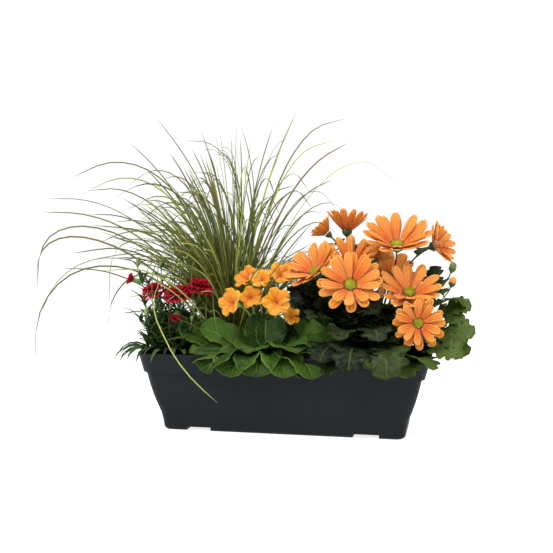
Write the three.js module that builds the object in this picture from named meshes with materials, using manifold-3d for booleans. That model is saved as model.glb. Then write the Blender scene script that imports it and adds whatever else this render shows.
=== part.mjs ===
// A planted window box: a moulded plastic trough of compost holding an ornamental grass, a
// pinks plant, a primrose and a chrysanthemum. Millimetres, +Z up, the long side along X and the
// front towards -Y. The origin is the centre of the trough's underside.
import * as THREE from "three";
import { mergeVertices } from "three/addons/utils/BufferGeometryUtils.js";
import Module from "manifold-3d";

const wasm = await Module();
wasm.setup();

// ---------------------------------------------------------------- driving dimensions
const GAP = 0.35; // clear space between neighbouring pieces
const BASE = { halfLength: 174, halfWidth: 59 }; // the trough's footprint
const FLARE = { length: 23, width: 16 }; // how far the walls lean out by the ledge
const HEIGHT = 113.5;
const LEDGE_Z = 85; // underside of the rim band
const SKIN = 2.5; // wall thickness of the moulding
const CHANNEL = { centre: 120.5, width: 36.5, height: 5.5 }; // drainage channels across the underside
const DRAIN = { radius: 4, y: 30 };
const SOIL_TOP = 97;
const ROOT_DEPTH = 26;

const CROWNS = {
  grass: { x: -92, y: 30, radius: 22, reach: 120 },
  pinks: { x: -160, y: -6, radius: 14, reach: 55 },
  primrose: { x: -26, y: -34, radius: 14, reach: 75 },
  chrysanthemum: { x: 122, y: 2, radius: 16, reach: 100 },
};

const COLOURS = {
  plastic: "#3a3d44",
  compost: "#2a1d14",
  grass: "#6f7c3a",
  pinksLeaf: "#3f5f35",
  pinksPetal: "#b3092c",
  primroseLeaf: "#4f7c2c",
  primrosePetal: "#f7a21c",
  chrysanthemumLeaf: "#2f4a26",
  chrysanthemumRay: "#f08a3c",
  chrysanthemumEye: "#a8b020",
};

// ---------------------------------------------------------------- small tools
// A repeatable stream of numbers from 0 to 1.
function randomFrom(seed) {
  let state = seed >>> 0;
  return () => {
    state = (state + 0x6d2b79f5) >>> 0;
    let t = state;
    t = Math.imul(t ^ (t >>> 15), t | 1);
    t ^= t + Math.imul(t ^ (t >>> 7), t | 61);
    return ((t ^ (t >>> 14)) >>> 0) / 4294967296;
  };
}

const radians = THREE.MathUtils.degToRad;
const vec = (x, y, z) => new THREE.Vector3(x, y, z);
const UP = vec(0, 0, 1);
const GOLDEN_ANGLE = radians(137.5);

function solidOf(geometry, matrix = new THREE.Matrix4()) {
  const bare = (geometry.index ? geometry.toNonIndexed() : geometry.clone()).applyMatrix4(matrix);
  for (const name of Object.keys(bare.attributes)) {
    if (name !== "position") bare.deleteAttribute(name);
  }
  const merged = mergeVertices(bare, 1e-4);
  const mesh = new wasm.Mesh({
    numProp: 3,
    vertProperties: merged.attributes.position.array,
    triVerts: new Uint32Array(merged.index.array),
  });
  return new wasm.Manifold(mesh);
}

function geometryOf(solid) {
  const { vertProperties, triVerts } = solid.getMesh();
  const geometry = new THREE.BufferGeometry();
  geometry.setAttribute("position", new THREE.BufferAttribute(new Float32Array(vertProperties), 3));
  geometry.setIndex(new THREE.BufferAttribute(new Uint32Array(triVerts), 1));
  geometry.computeVertexNormals();
  return geometry;
}

const FINEST_EDGE = 0.02; // slivers below this are tidied away after pieces are fused
const LARGEST_CRUMB = 0.5; // cubic millimetres

const root = new THREE.Group();
const placed = []; // every finished node's solid, for keeping later pieces clear of it

function addNode(name, solid, colour, roughness = 0.7) {
  const material = new THREE.MeshStandardMaterial({ color: colour, roughness, metalness: 0 });
  const mesh = new THREE.Mesh(geometryOf(solid), material);
  mesh.name = name;
  root.add(mesh);
  placed.push(solid);
}

function clearOf(solid, others = placed) {
  return others.every((other) => solid.minGap(other, 2 * GAP) > GAP);
}

// Degrees that a petal may be bent, and numbers of steps that a leaf may be moved, to stay clear.
const PETAL_TRIES = [0, 8, -8, 16, -16, 24, -24, 34, 46, 58, 70];
const FEW_TRIES = [0, 1, -1, 2, -2, 3, -3, 4, -4];
const MANY_TRIES = [0, 1, 2, 3, 4, 5, 6, 7, 8, 9, 10, 11, 12];

// A plant or bloom that grows piece by piece. Each new piece is tried in one pose after another
// until it stands clear of the nodes placed before and, past its root, of its own neighbours.
class Growth {
  constructor(...core) {
    this.pieces = core;
    this.tips = [];
  }

  // The first pose in which the made piece is clear, or undefined.
  clearPose(make, poses) {
    return poses.find((pose) => {
      const { solid, from, towards, root: length } = make(pose);
      const tip = solid.trimByPlane(towards.toArray(), from.dot(towards) + length);
      if (!clearOf(solid) || !clearOf(tip, this.tips)) return false;
      this.tips.push(tip);
      return true;
    });
  }

  add(make, poses = [0]) {
    const pose = this.clearPose(make, poses);
    if (pose === undefined) return false;
    this.pieces.push(make(pose).solid);
    return true;
  }

  // Adds a piece that the plant can't do without.
  need(make, poses) {
    if (!this.add(make, poses)) throw new Error("there is no room for a needed piece");
  }

  // A stalk from the plant's crown to a point.
  stalk(plant, end, arrive, radius) {
    const path = stalkTo(plant, end, arrive);
    const solid = stem(path, radius);
    if (!clearOf(solid)) throw new Error("a stalk has no way up");
    this.pieces.push(solid);
    this.tips.push(solid.trimByPlane([0, 0, 1], SOIL_TOP + 25));
    return path;
  }

  // Raises or lowers each petal of a ring by itself until it is clear.
  settle(place, petals, root) {
    return petals.map(({ turn, pose, form }) => {
      const towards = vec(Math.cos(turn), Math.sin(turn), 0).transformDirection(place);
      const raise = this.clearPose((by) => {
        const solid = solidOf(blade(pose(by), sideOf(turn), form), place);
        return { solid, from: vec(0, 0, 0).applyMatrix4(place), towards, root };
      }, PETAL_TRIES);
      return { turn, form, path: pose(raise ?? PETAL_TRIES.at(-1)) };
    });
  }

  // The plant as one body, without the crumbs that fusing thin edges can leave.
  fused() {
    const bodies = wasm.Manifold.union(this.pieces).simplify(FINEST_EDGE).decompose();
    const [whole, ...crumbs] = bodies.sort((a, b) => b.volume() - a.volume());
    const loose = crumbs.some((crumb) => crumb.volume() > LARGEST_CRUMB);
    if (loose) throw new Error("a piece of a plant is loose");
    return whole;
  }
}

// Stands a local +Z axis along a direction, with its origin at a point.
function facing(at, direction) {
  const turn = new THREE.Quaternion().setFromUnitVectors(UP, direction.clone().normalize());
  return new THREE.Matrix4().compose(at, turn, vec(1, 1, 1));
}

// ---------------------------------------------------------------- thin living shapes
// A leaf, petal or grass blade is a skin that is thickest on its rib and sharp at its edges. It is
// held as rows of points from root to tip. The path runs along the rib, side is the direction
// across it, and form gives the half width, rise (along the normal) and shift (along the path) at
// t from root to tip and v from edge to edge. A keeled blade has one flat face on top.
function bladeRows(points, path, side, form) {
  const { half, stations, columns = 2, thickness = 0.9, keeled = false } = form;
  const { root: rootThickness = thickness, rise = () => 0, shift = () => 0 } = form;
  const put = (p) => points.push(p.x, p.y, p.z) / 3 - 1;
  return Array.from({ length: stations + 1 }, (_, i) => {
    const t = i / stations;
    const at = path.getPoint(t);
    const along = path.getTangent(t);
    const across = side.clone().addScaledVector(along, -side.dot(along)).normalize();
    const normal = across.clone().cross(along).normalize();
    const width = half(t);
    const row = { top: [], bottom: [] };
    for (let j = 0; j <= columns; j += 1) {
      const v = -1 + (2 * j) / columns;
      const surface = at.clone().addScaledVector(across, v * width);
      surface.addScaledVector(normal, rise(t, v)).addScaledVector(along, shift(t, v));
      if (width === 0 || Math.abs(v) === 1) {
        const shared = width === 0 && j > 0 ? row.bottom[0] : put(surface);
        row.top.push(shared);
        row.bottom.push(shared);
      } else {
        const full = THREE.MathUtils.lerp(rootThickness, thickness, Math.min(1, 3 * t));
        const deep = (full / 2) * (1 - Math.abs(v) ** 1.5);
        if (!keeled) row.top.push(put(surface.clone().addScaledVector(normal, deep)));
        row.bottom.push(put(surface.clone().addScaledVector(normal, keeled ? -2 * deep : -deep)));
      }
    }
    if (keeled && row.top.length > 2) row.top.splice(1, 1);
    return row;
  });
}

// Covers the rows of one blade on both sides, split into triangles alike above and below.
function skin(index, rows) {
  const face = (a, b, c) => a !== b && b !== c && a !== c && index.push(a, b, c);
  rows.slice(1).forEach((far, i) => {
    for (const cover of ["top", "bottom"]) {
      const near = rows[i][cover];
      const strips = near.length - 1;
      for (let j = 0; j < strips; j += 1) {
        const [a, b, c, d] = [near[j], near[j + 1], far[cover][j + 1], far[cover][j]];
        const split = j < strips / 2 ? [[a, b, c], [a, c, d]] : [[a, b, d], [b, c, d]];
        split.forEach(([p, q, r]) => (cover === "top" ? face(p, q, r) : face(p, r, q)));
      }
    }
  });
}

// Closes one end of a blade, as a strip across its thickness.
function endCap(index, { top, bottom }, atRoot) {
  const face = (a, b, c) => {
    if (a === b || b === c || a === c) return;
    index.push(...(atRoot ? [a, b, c] : [a, c, b]));
  };
  if (top.length !== bottom.length) {
    face(bottom[0], bottom[1], bottom[2]);
    return;
  }
  bottom.slice(1).forEach((far, j) => {
    face(bottom[j], far, top[j + 1]);
    face(bottom[j], top[j + 1], top[j]);
  });
}

function indexed(points, index) {
  const geometry = new THREE.BufferGeometry();
  geometry.setAttribute("position", new THREE.Float32BufferAttribute(points, 3));
  geometry.setIndex(index);
  return geometry;
}

function blade(path, side, form) {
  const [points, index] = [[], []];
  const rows = bladeRows(points, path, side, form);
  skin(index, rows);
  endCap(index, rows[0], true);
  endCap(index, rows[rows.length - 1], false);
  return indexed(points, index);
}

// Joins two rings of points, one inside the other, with a band of triangles.
function band(points, index, lower, upper) {
  const angleOf = (k) => Math.atan2(points[3 * k + 1], points[3 * k]);
  const sorted = (ring) => [...ring].sort((a, b) => angleOf(a) - angleOf(b));
  const [low, high] = [sorted(lower), sorted(upper)];
  let [i, j] = [0, 0];
  const turnOf = (ring, k) => angleOf(ring[k % ring.length]) + 2 * Math.PI * Math.floor(k / ring.length);
  while (i < low.length || j < high.length) {
    const [a, b] = [low[i % low.length], high[j % high.length]];
    if (j >= high.length || (i < low.length && turnOf(low, i + 1) <= turnOf(high, j + 1))) {
      i += 1;
      index.push(a, low[i % low.length], b);
    } else {
      j += 1;
      index.push(a, high[j % high.length], b);
    }
  }
}

// Rings of petals grown together at the base, from the outermost up. In a ring neighbours share
// the corners of their roots, and a petal is { turn, path, form }, in order round the axis.
function corolla(rings) {
  const [points, index] = [[], []];
  const put = (x, y, z) => points.push(x, y, z) / 3 - 1;
  const loops = rings.map(({ petals, radius, turn: offset, z }) => {
    const step = (2 * Math.PI) / petals.length;
    const corners = petals.map((_, k) => {
      const a = (k - 0.5) * step + offset;
      return put(radius * Math.cos(a), radius * Math.sin(a), z);
    });
    const loop = { top: [], bottom: [] };
    petals.forEach(({ turn, path, form }, k) => {
      const rows = bladeRows(points, path, sideOf(turn), form);
      for (const cover of ["top", "bottom"]) {
        const root = rows[0][cover];
        root[0] = corners[(k + 1) % petals.length];
        root[root.length - 1] = corners[k];
        loop[cover].push(...[...root].reverse().slice(0, -1));
      }
      skin(index, rows);
      endCap(index, rows[rows.length - 1], false);
    });
    return loop;
  });
  const [first, last] = [rings[0], rings[rings.length - 1]];
  const base = put(0, 0, first.z - first.depth);
  const crest = put(0, 0, last.z + last.rise);
  loops[0].bottom.forEach((a, k, loop) => index.push(base, loop[(k + 1) % loop.length], a));
  const inner = loops[loops.length - 1].top;
  inner.forEach((a, k) => index.push(crest, a, inner[(k + 1) % inner.length]));
  loops.slice(1).forEach((loop, k) => band(points, index, loops[k].top, loop.bottom));
  return indexed(points, index);
}

// A midrib that starts at a point, leans out at one angle from the vertical and bends to another.
function archPath(start, azimuth, lean, bend, length, pieces = 8) {
  const points = [start.clone()];
  const step = length / pieces;
  for (let i = 0; i < pieces; i += 1) {
    const angle = lean + (bend - lean) * ((i + 0.5) / pieces) ** 1.4;
    const out = Math.sin(angle) * step;
    const last = points[points.length - 1];
    points.push(vec(last.x + out * Math.cos(azimuth), last.y + out * Math.sin(azimuth),
      last.z + Math.cos(angle) * step));
  }
  return new THREE.CatmullRomCurve3(points);
}

// The sideways direction of an upright plane that runs out at an azimuth.
const sideOf = (azimuth) => vec(Math.sin(azimuth), -Math.cos(azimuth), 0);

function stem(path, radius, steps = 4, sides = 3) {
  const section = Array.from({ length: sides }, (_, k) => {
    const a = (2 * Math.PI * k) / sides;
    return new THREE.Vector2(radius * Math.cos(a), radius * Math.sin(a));
  });
  const along = { steps, bevelEnabled: false, extrudePath: path };
  return solidOf(new THREE.ExtrudeGeometry(new THREE.Shape(section), along));
}

function lathe(profile, sides) {
  const turned = new THREE.LatheGeometry(profile.map(([r, z]) => new THREE.Vector2(r, z)), sides);
  return turned.rotateX(Math.PI / 2);
}

// A half width that follows points of [t, share of the full half width].
function outline(knots, scale) {
  return (t) => {
    const next = Math.max(1, knots.findIndex(([at]) => at >= t - 1e-9));
    const [[t0, w0], [t1, w1]] = [knots[next - 1], knots[next]];
    return scale * THREE.MathUtils.lerp(w0, w1, (t - t0) / (t1 - t0));
  };
}

// The dense middle of a bushy plant, which its leaves stand out of.
function bushHeart({ centre, radii }) {
  const heart = new THREE.IcosahedronGeometry(1, 1);
  const position = heart.attributes.position;
  for (let i = 0; i < position.count; i += 1) {
    const p = vec(position.getX(i), position.getY(i), position.getZ(i));
    p.multiplyScalar(1 + 0.09 * Math.sin(5 * p.x + 4 * p.z) * Math.cos(4 * p.y));
    position.setXYZ(i, ...p.multiply(vec(...radii)).add(vec(...centre)));
  }
  return solidOf(heart);
}

const ROOTED_AT = 0.82; // how far out leaves start, as a share of the heart's radii

// A place on a bush's heart in a direction, a little under its surface.
function onHeart({ centre, radii }, azimuth, elevation) {
  const level = Math.cos(elevation);
  const out = vec(level * Math.cos(azimuth), level * Math.sin(azimuth), Math.sin(elevation));
  return out.multiply(vec(...radii)).multiplyScalar(ROOTED_AT).add(vec(...centre));
}

const FEET_WITHIN = 0.65; // share of a crown's radius that stalks stand on

// Where a stalk stands on its crown: the further it reaches out, the further from the middle.
function footOf(plant, bearing, distance) {
  const out = FEET_WITHIN * plant.radius * Math.min(1, distance / plant.reach);
  return vec(plant.x + out * Math.cos(bearing), plant.y + out * Math.sin(bearing), SOIL_TOP - 3);
}

// A stalk that leaves a plant's crown steeply and reaches a point along a given direction.
function stalkTo(plant, end, arrive) {
  const [dx, dy] = [end.x - plant.x, end.y - plant.y];
  const foot = footOf(plant, Math.atan2(dy, dx), Math.hypot(dx, dy));
  const rise = end.z - foot.z;
  const firstPull = foot.clone().lerp(end, 0.1).setZ(foot.z + Math.max(40, 0.5 * rise));
  const lastPull = end.clone().addScaledVector(arrive, -0.3 * rise);
  return new THREE.CubicBezierCurve3(foot, firstPull, lastPull, end);
}

// ---------------------------------------------------------------- the trough and its compost
const CORNER_STEPS = 3;
const HOLE_SIDES = 8;

function roundedRing(halfLength, halfWidth, radius, z) {
  const ring = [];
  const corners = [[1, 1, 0], [-1, 1, 90], [-1, -1, 180], [1, -1, 270]];
  for (const [sx, sy, from] of corners) {
    for (let k = 0; k <= CORNER_STEPS; k += 1) {
      const a = radians(from + (90 * k) / CORNER_STEPS);
      const x = sx * (halfLength - radius) + radius * Math.cos(a);
      const y = sy * (halfWidth - radius) + radius * Math.sin(a);
      ring.push(vec(x, y, z));
    }
  }
  return ring;
}

function loft(rings) {
  const count = rings[0].length;
  const points = rings.flat();
  const index = [];
  rings.slice(1).forEach((_, level) => {
    for (let k = 0; k < count; k += 1) {
      const next = (k + 1) % count;
      const [a, b] = [level * count + k, level * count + next];
      const [c, d] = [b + count, a + count];
      index.push(a, b, c, a, c, d);
    }
  });
  const cap = (level, flip) => {
    const centre = points.length;
    const middle = rings[level].reduce((sum, p) => sum.add(p), vec(0, 0, 0)).divideScalar(count);
    points.push(middle);
    for (let k = 0; k < count; k += 1) {
      const [a, b] = [level * count + k, level * count + ((k + 1) % count)];
      if (flip) index.push(centre, b, a);
      else index.push(centre, a, b);
    }
  };
  cap(0, true);
  cap(rings.length - 1, false);
  return indexed(points.flatMap((p) => p.toArray()), index);
}

// How far the wall has leant out at a height, from 0 at the foot to 1 at the ledge.
const leanAt = (z) => {
  const knots = [[0, 0], [3, 0.02], [25, 0.2], [50, 0.61], [LEDGE_Z, 1], [HEIGHT, 1]];
  return outline(knots.map(([at, w]) => [at / HEIGHT, w]), 1)(Math.min(z, HEIGHT) / HEIGHT);
};

function wallRing(z, out) {
  const lean = leanAt(z);
  const halfLength = BASE.halfLength + FLARE.length * lean + out;
  const halfWidth = BASE.halfWidth + FLARE.width * lean + out;
  return roundedRing(halfLength, halfWidth, 13 + 4 * lean + Math.max(-4, out), z);
}

const RIM = { ledge: 4, top: 11, bead: 12, beadHeight: 3.5, lip: 3 };

function channelBlocks(grow) {
  return [-1, 1].map((end) => {
    const height = CHANNEL.height + grow;
    const block = new THREE.BoxGeometry(CHANNEL.width + 2 * grow, 4 * BASE.halfWidth, height + 10);
    return solidOf(block.translate(end * CHANNEL.centre, 0, (height - 10) / 2));
  });
}

function windowBox() {
  const outer = solidOf(loft([
    wallRing(0, -3), wallRing(3, 0), wallRing(25, 0), wallRing(50, 0), wallRing(LEDGE_Z, 0),
    wallRing(LEDGE_Z, RIM.ledge), wallRing(HEIGHT - RIM.beadHeight, RIM.top),
    wallRing(HEIGHT - RIM.beadHeight + 0.8, RIM.bead), wallRing(HEIGHT, RIM.bead),
  ]));
  const cavity = solidOf(loft([
    wallRing(SKIN, -SKIN - 2), wallRing(SKIN + 3, -SKIN), wallRing(25, -SKIN),
    wallRing(LEDGE_Z, -SKIN), wallRing(LEDGE_Z + SKIN, RIM.ledge - SKIN),
    wallRing(HEIGHT - 1, RIM.bead - RIM.lip), wallRing(HEIGHT + 1, RIM.bead - RIM.lip),
  ]));
  const floorRaised = wasm.Manifold.union(channelBlocks(SKIN));
  const drains = [-1, 1].flatMap((end) => [-1, 1].map((side) => {
    const drill = new THREE.CylinderGeometry(DRAIN.radius, DRAIN.radius, 30, 6).rotateX(Math.PI / 2);
    return solidOf(drill.translate(end * CHANNEL.centre, side * DRAIN.y, 0));
  }));
  const hollow = cavity.subtract(floorRaised);
  return outer.subtract(hollow).subtract(wasm.Manifold.union([...channelBlocks(0), ...drains]));
}

function compost() {
  const random = randomFrom(7);
  const inset = -SKIN - GAP;
  const sides = [[SKIN + GAP, inset - 2], [SKIN + 3.5, inset], [25, inset], [LEDGE_Z, inset],
    [LEDGE_Z + 4, RIM.ledge - SKIN - GAP], [SOIL_TOP - 3, RIM.ledge - SKIN]];
  const rings = sides.map(([z, out]) => wallRing(z, out));
  for (const [share, height] of [[0.85, 0.5], [0.45, 1.5]]) {
    rings.push(wallRing(SOIL_TOP, RIM.ledge).map((p) => {
      const z = SOIL_TOP + height + 2.4 * (random() - 0.5);
      return vec(p.x * share, p.y * share, z);
    }));
  }
  const holes = Object.values(CROWNS).map(({ x, y, radius }) => {
    const depth = ROOT_DEPTH + GAP;
    const outer = (radius + 2 * GAP) / Math.cos(Math.PI / HOLE_SIDES);
    const drill = new THREE.CylinderGeometry(outer, outer, 2 * depth, HOLE_SIDES);
    return solidOf(drill.rotateX(Math.PI / 2).translate(x, y, SOIL_TOP));
  });
  const body = solidOf(loft(rings)).subtract(wasm.Manifold.union(channelBlocks(SKIN + GAP)));
  return body.subtract(wasm.Manifold.union(holes));
}

// The stub of root that each plant stands on, sunk in its hole in the compost.
function crown({ x, y, radius }, swell) {
  const profile = [[0, -ROOT_DEPTH], [radius * 0.75, -ROOT_DEPTH], [radius, -6], [radius, swell * 0.4],
    [radius * 0.7, swell], [0, swell + 1]];
  return solidOf(lathe(profile, 7), new THREE.Matrix4().makeTranslation(x, y, SOIL_TOP));
}

// ---------------------------------------------------------------- the grass
// The blades that give the tuft its outline: two pulls that bend each one, and its tip.
const LONG_BLADES = [
  [[-185, 10, 285], [-420, -10, 280], [-380, -30, 65]],
  [[-185, 25, 290], [-365, 15, 280], [-395, 10, 150]],
  [[-210, 0, 280], [-425, -30, 335], [-380, -60, 200]],
  [[-175, 35, 295], [-410, 35, 360], [-420, 40, 220]],
  [[-180, 50, 275], [-285, 70, 350], [-420, 90, 340]],
  [[-120, 25, 350], [-235, 25, 440], [-345, 20, 370]],
  [[-110, 5, 310], [-205, -15, 420], [-305, -40, 340]],
  [[-125, -5, 275], [-200, -35, 370], [-280, -70, 345]],
  [[-120, 40, 275], [-190, 50, 365], [-265, 60, 425]],
  [[-80, 25, 275], [-140, 25, 380], [-205, 20, 455]],
  [[-45, 50, 305], [-90, 70, 445], [-185, 90, 430]],
  [[-40, 15, 275], [-45, -5, 375], [-65, -20, 435]],
  [[-75, 35, 245], [-45, 35, 365], [5, 40, 465]],
  [[-60, 55, 260], [-30, 75, 460], [70, 100, 460]],
  [[-50, 25, 275], [0, 25, 385], [85, 20, 415]],
  [[-45, 40, 275], [75, 50, 465], [150, 60, 360]],
  [[-55, 20, 260], [25, 10, 405], [70, 0, 320]],
  [[-50, 55, 225], [-5, 75, 340], [35, 100, 315]],
  [[-165, 20, 265], [-290, -35, 250], [-262, -70, 120]],
  [[-165, 5, 275], [-275, -25, 335], [-250, -50, 180]],
];
// One blade falls forward between the pinks and hangs down in front of the trough.
const FALLEN_BLADE = [
  [-98, 20, 93], [-116, 8, 165], [-138, -8, 215], [-158, -42, 234], [-174, -74, 212], [-178, -86, 180],
  [-165, -91, 148], [-145, -93, 112], [-118, -95, 80], [-81, -96, 49],
];
const FILLERS = { count: 44, shortest: 170, longest: 330, spread: radians(62) };
const GRASS_HALF_WIDTH = 1.1;
// How far a blade may shift to stay clear.
const BLADE_MOVES = [0, 3, -3, 6, -6, 10, -10, 15, -15, 20, -20, 28, -28, 36, -36, 44, 52, 60, 70, 80];
const RIM_CLEAR = HEIGHT + 8; // above this the fallen blade may also shift sideways

function grassBlade(path, side, stations) {
  const half = outline([[0, 1], [0.5, 1], [0.85, 0.6], [1, 0]], GRASS_HALF_WIDTH);
  const solid = solidOf(blade(path, side, { half, stations, thickness: 0.8, keeled: true }));
  return { solid, from: vec(0, 0, SOIL_TOP), towards: UP, root: 28 };
}

function grass() {
  const random = randomFrom(11);
  const tuft = new Growth(crown(CROWNS.grass, 10));
  tuft.need((out) => {
    const path = new THREE.CatmullRomCurve3(FALLEN_BLADE.map(([x, y, z]) => {
      return vec(x + (z > RIM_CLEAR ? out : 0), y - (y < -BASE.halfWidth ? Math.abs(out) : 0), z);
    }));
    return grassBlade(path, vec(0.8, 0.6, 0), FALLEN_BLADE.length + 2);
  }, BLADE_MOVES);
  for (const [first, second, tip] of LONG_BLADES) {
    const towardsTip = Math.atan2(tip[1] - CROWNS.grass.y, tip[0] - CROWNS.grass.x);
    const bearing = towardsTip + 0.8 * (random() - 0.5);
    const foot = footOf(CROWNS.grass, bearing, CROWNS.grass.reach * (0.4 + random()));
    const side = vec(random() - 0.5, 1, random() - 0.5);
    tuft.need((back) => {
      const moved = ([x, y, z], raise = 0) => vec(x, y + back, z + raise * Math.abs(back));
      const path = new THREE.CubicBezierCurve3(foot, moved(first, 0.5), moved(second), moved(tip));
      return grassBlade(path, side, 6);
    }, BLADE_MOVES);
  }
  for (let n = 0; n < FILLERS.count; n += 1) {
    const length = THREE.MathUtils.lerp(FILLERS.shortest, FILLERS.longest, random());
    const spread = random();
    const lean = radians(8 + 34 * spread);
    const bend = lean + radians(25 + 75 * random());
    const heading = n % 3 ? Math.PI + FILLERS.spread * (2 * random() - 1) : 2 * Math.PI * random();
    tuft.add((k) => {
      const azimuth = heading + radians(23) * k;
      const foot = footOf(CROWNS.grass, azimuth, CROWNS.grass.reach * (0.15 + spread));
      const ease = 1 - 0.03 * k;
      const path = archPath(foot, azimuth, lean * ease, bend * ease, length);
      return grassBlade(path, sideOf(azimuth), 4);
    }, MANY_TRIES);
  }
  return tuft.fused();
}

// ---------------------------------------------------------------- the pinks
const PINKS_BLOOMS = [
  { at: [-191, -40, 196], looks: [-0.3, -0.72, 0.62], radius: 18 },
  { at: [-154, -47, 193], looks: [-0.05, -0.8, 0.6], radius: 17.5 },
  { at: [-124, -37, 203], looks: [0.2, -0.7, 0.68], radius: 19 },
  { at: [-231, -20, 214], looks: [-0.85, -0.3, 0.35], radius: 10, closed: true },
  { at: [-154, -54, 165], looks: [0.1, -0.75, -0.5], radius: 9, closed: true },
];
const OPEN_WHORLS = [
  { petals: 5, lift: 8, reach: 0.9, root: 3.2, spread: 0.6 },
  { petals: 4, lift: 42, reach: 0.8, root: 2.4, spread: 0.58 },
  { petals: 3, lift: 70, reach: 0.62, root: 1.6, spread: 0.42 },
];
const CLOSED_WHORLS = [{ petals: 4, lift: 62, reach: 1, root: 2.4, spread: 0.45 }];

// Whorls of fan-shaped petals whose broad ends are cut into teeth.
function pinksBloom({ at, looks, radius, closed }, seed) {
  const random = randomFrom(seed);
  const place = facing(vec(...at), vec(...looks));
  const bloom = new Growth();
  const rings = (closed ? CLOSED_WHORLS : OPEN_WHORLS).map((whorl, level) => {
    const { petals, lift, reach, root, spread } = whorl;
    const step = (2 * Math.PI) / petals;
    const ring = { radius: root, turn: 0.5 * level * step, z: 1.1 * level, rise: 1, depth: 1.4 };
    const fans = Array.from({ length: petals }, (_, k) => {
      const turn = step * k + ring.turn;
      const length = radius * reach * (0.94 + 0.1 * random());
      const start = vec(root * Math.cos(turn), root * Math.sin(turn), ring.z);
      const pose = (raise) => {
        const angle = Math.PI / 2 - radians(lift + raise);
        return archPath(start, turn, angle - 0.25, angle + 0.35, length, 3);
      };
      const form = {
        half: outline([[0, root / length], [1, spread]], length),
        stations: 1,
        columns: 4,
        thickness: 1.2,
        rise: (t, v) => 0.07 * length * t * Math.cos(2 * Math.PI * v),
        shift: (t, v) => -0.16 * length * t * (v * v + (Math.abs(v) === 0.5 ? 0.6 : 0)),
      };
      return { turn, pose, form };
    });
    return { ...ring, petals: bloom.settle(place, fans, 0.3 * radius) };
  });
  return solidOf(corolla(rings), place);
}

// The green tube that a bloom sits in.
function calyx(at, looks, length, radius) {
  const profile = [[0, -length], [0.6 * radius, -length], [radius, -0.35 * length],
    [0.8 * radius, -2], [0, -2]];
  return solidOf(lathe(profile, 5), facing(vec(...at), vec(...looks)));
}

const PINKS_HEART = { centre: [-166, -14, 128], radii: [27, 21, 25] };
const PINKS_LEAVES = { count: 38, length: 44, halfWidth: 4.2 };
const PINKS_HANGING = { headings: [196, 212, 226, 240, 284], elevation: -22, length: 60 };
const PINKS_BUDS = [[-229, -8, 240], [-190, -14, 240], [-196, -64, 172], [-128, -62, 168]];

function slimLeaf(start, azimuth, lean, bend, length, halfWidth) {
  const solid = solidOf(blade(archPath(start, azimuth, lean, bend, length, 4), sideOf(azimuth), {
    half: outline([[0, 0.4], [0.4, 1], [1, 0]], halfWidth),
    stations: 2,
    thickness: 0.8,
    keeled: true,
  }));
  return { solid, from: start, towards: vec(Math.cos(azimuth), Math.sin(azimuth), 0), root: 3 };
}

function pinksGreen() {
  const random = randomFrom(23);
  const plant = CROWNS.pinks;
  const growth = new Growth(crown(plant, 10), bushHeart(PINKS_HEART));
  const grow = (end, arrive, radius, pairAt, top) => {
    const path = growth.stalk(plant, end, arrive, radius);
    growth.pieces.push(top);
    const start = path.getPoint(pairAt);
    for (const half of [0, Math.PI]) {
      const heading = half + random();
      const [length, bend] = [26 + 12 * random(), 1.3 + 0.4 * random()];
      growth.add((k) => {
        return slimLeaf(start, heading + 0.35 * k, 0.5 + 0.05 * Math.abs(k), bend, length, 2.8);
      }, FEW_TRIES);
    }
  };
  for (const { at, looks, closed } of PINKS_BLOOMS) {
    const axis = vec(...looks).normalize();
    const length = closed ? 13 : 15;
    const cup = calyx(at, looks, length, closed ? 4.2 : 3.2);
    grow(vec(...at).addScaledVector(axis, 1 - length), axis, 1.2, 0.55, cup);
  }
  for (const at of PINKS_BUDS) {
    const axis = vec(0.1, -0.2, 1).normalize();
    const end = vec(...at);
    const bud = solidOf(lathe([[0, -8], [2, -7], [3.2, -1], [0, 8]], 5), facing(end, axis));
    grow(end.addScaledVector(axis, -7), axis, 1.1, 0.6, bud);
  }
  const leafOn = (heading, elevation, lean, bend, length) => {
    growth.add((k) => {
      const start = onHeart(PINKS_HEART, heading, elevation + 0.12 * k);
      return slimLeaf(start, heading + 0.2 * k, lean, bend, length, PINKS_LEAVES.halfWidth);
    }, FEW_TRIES);
  };
  for (const heading of PINKS_HANGING.headings) {
    leafOn(radians(heading), radians(PINKS_HANGING.elevation), 1.1, 2.3, PINKS_HANGING.length);
  }
  for (let n = 0; n < PINKS_LEAVES.count; n += 1) {
    const elevation = Math.asin(-0.6 + (1.55 * (n + 0.5)) / PINKS_LEAVES.count);
    const length = PINKS_LEAVES.length * (0.85 + 0.35 * random());
    const lean = Math.PI / 2 - elevation - 0.45;
    leafOn(n * GOLDEN_ANGLE, elevation, lean, lean + 0.7, length);
  }
  return growth.fused();
}

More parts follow.
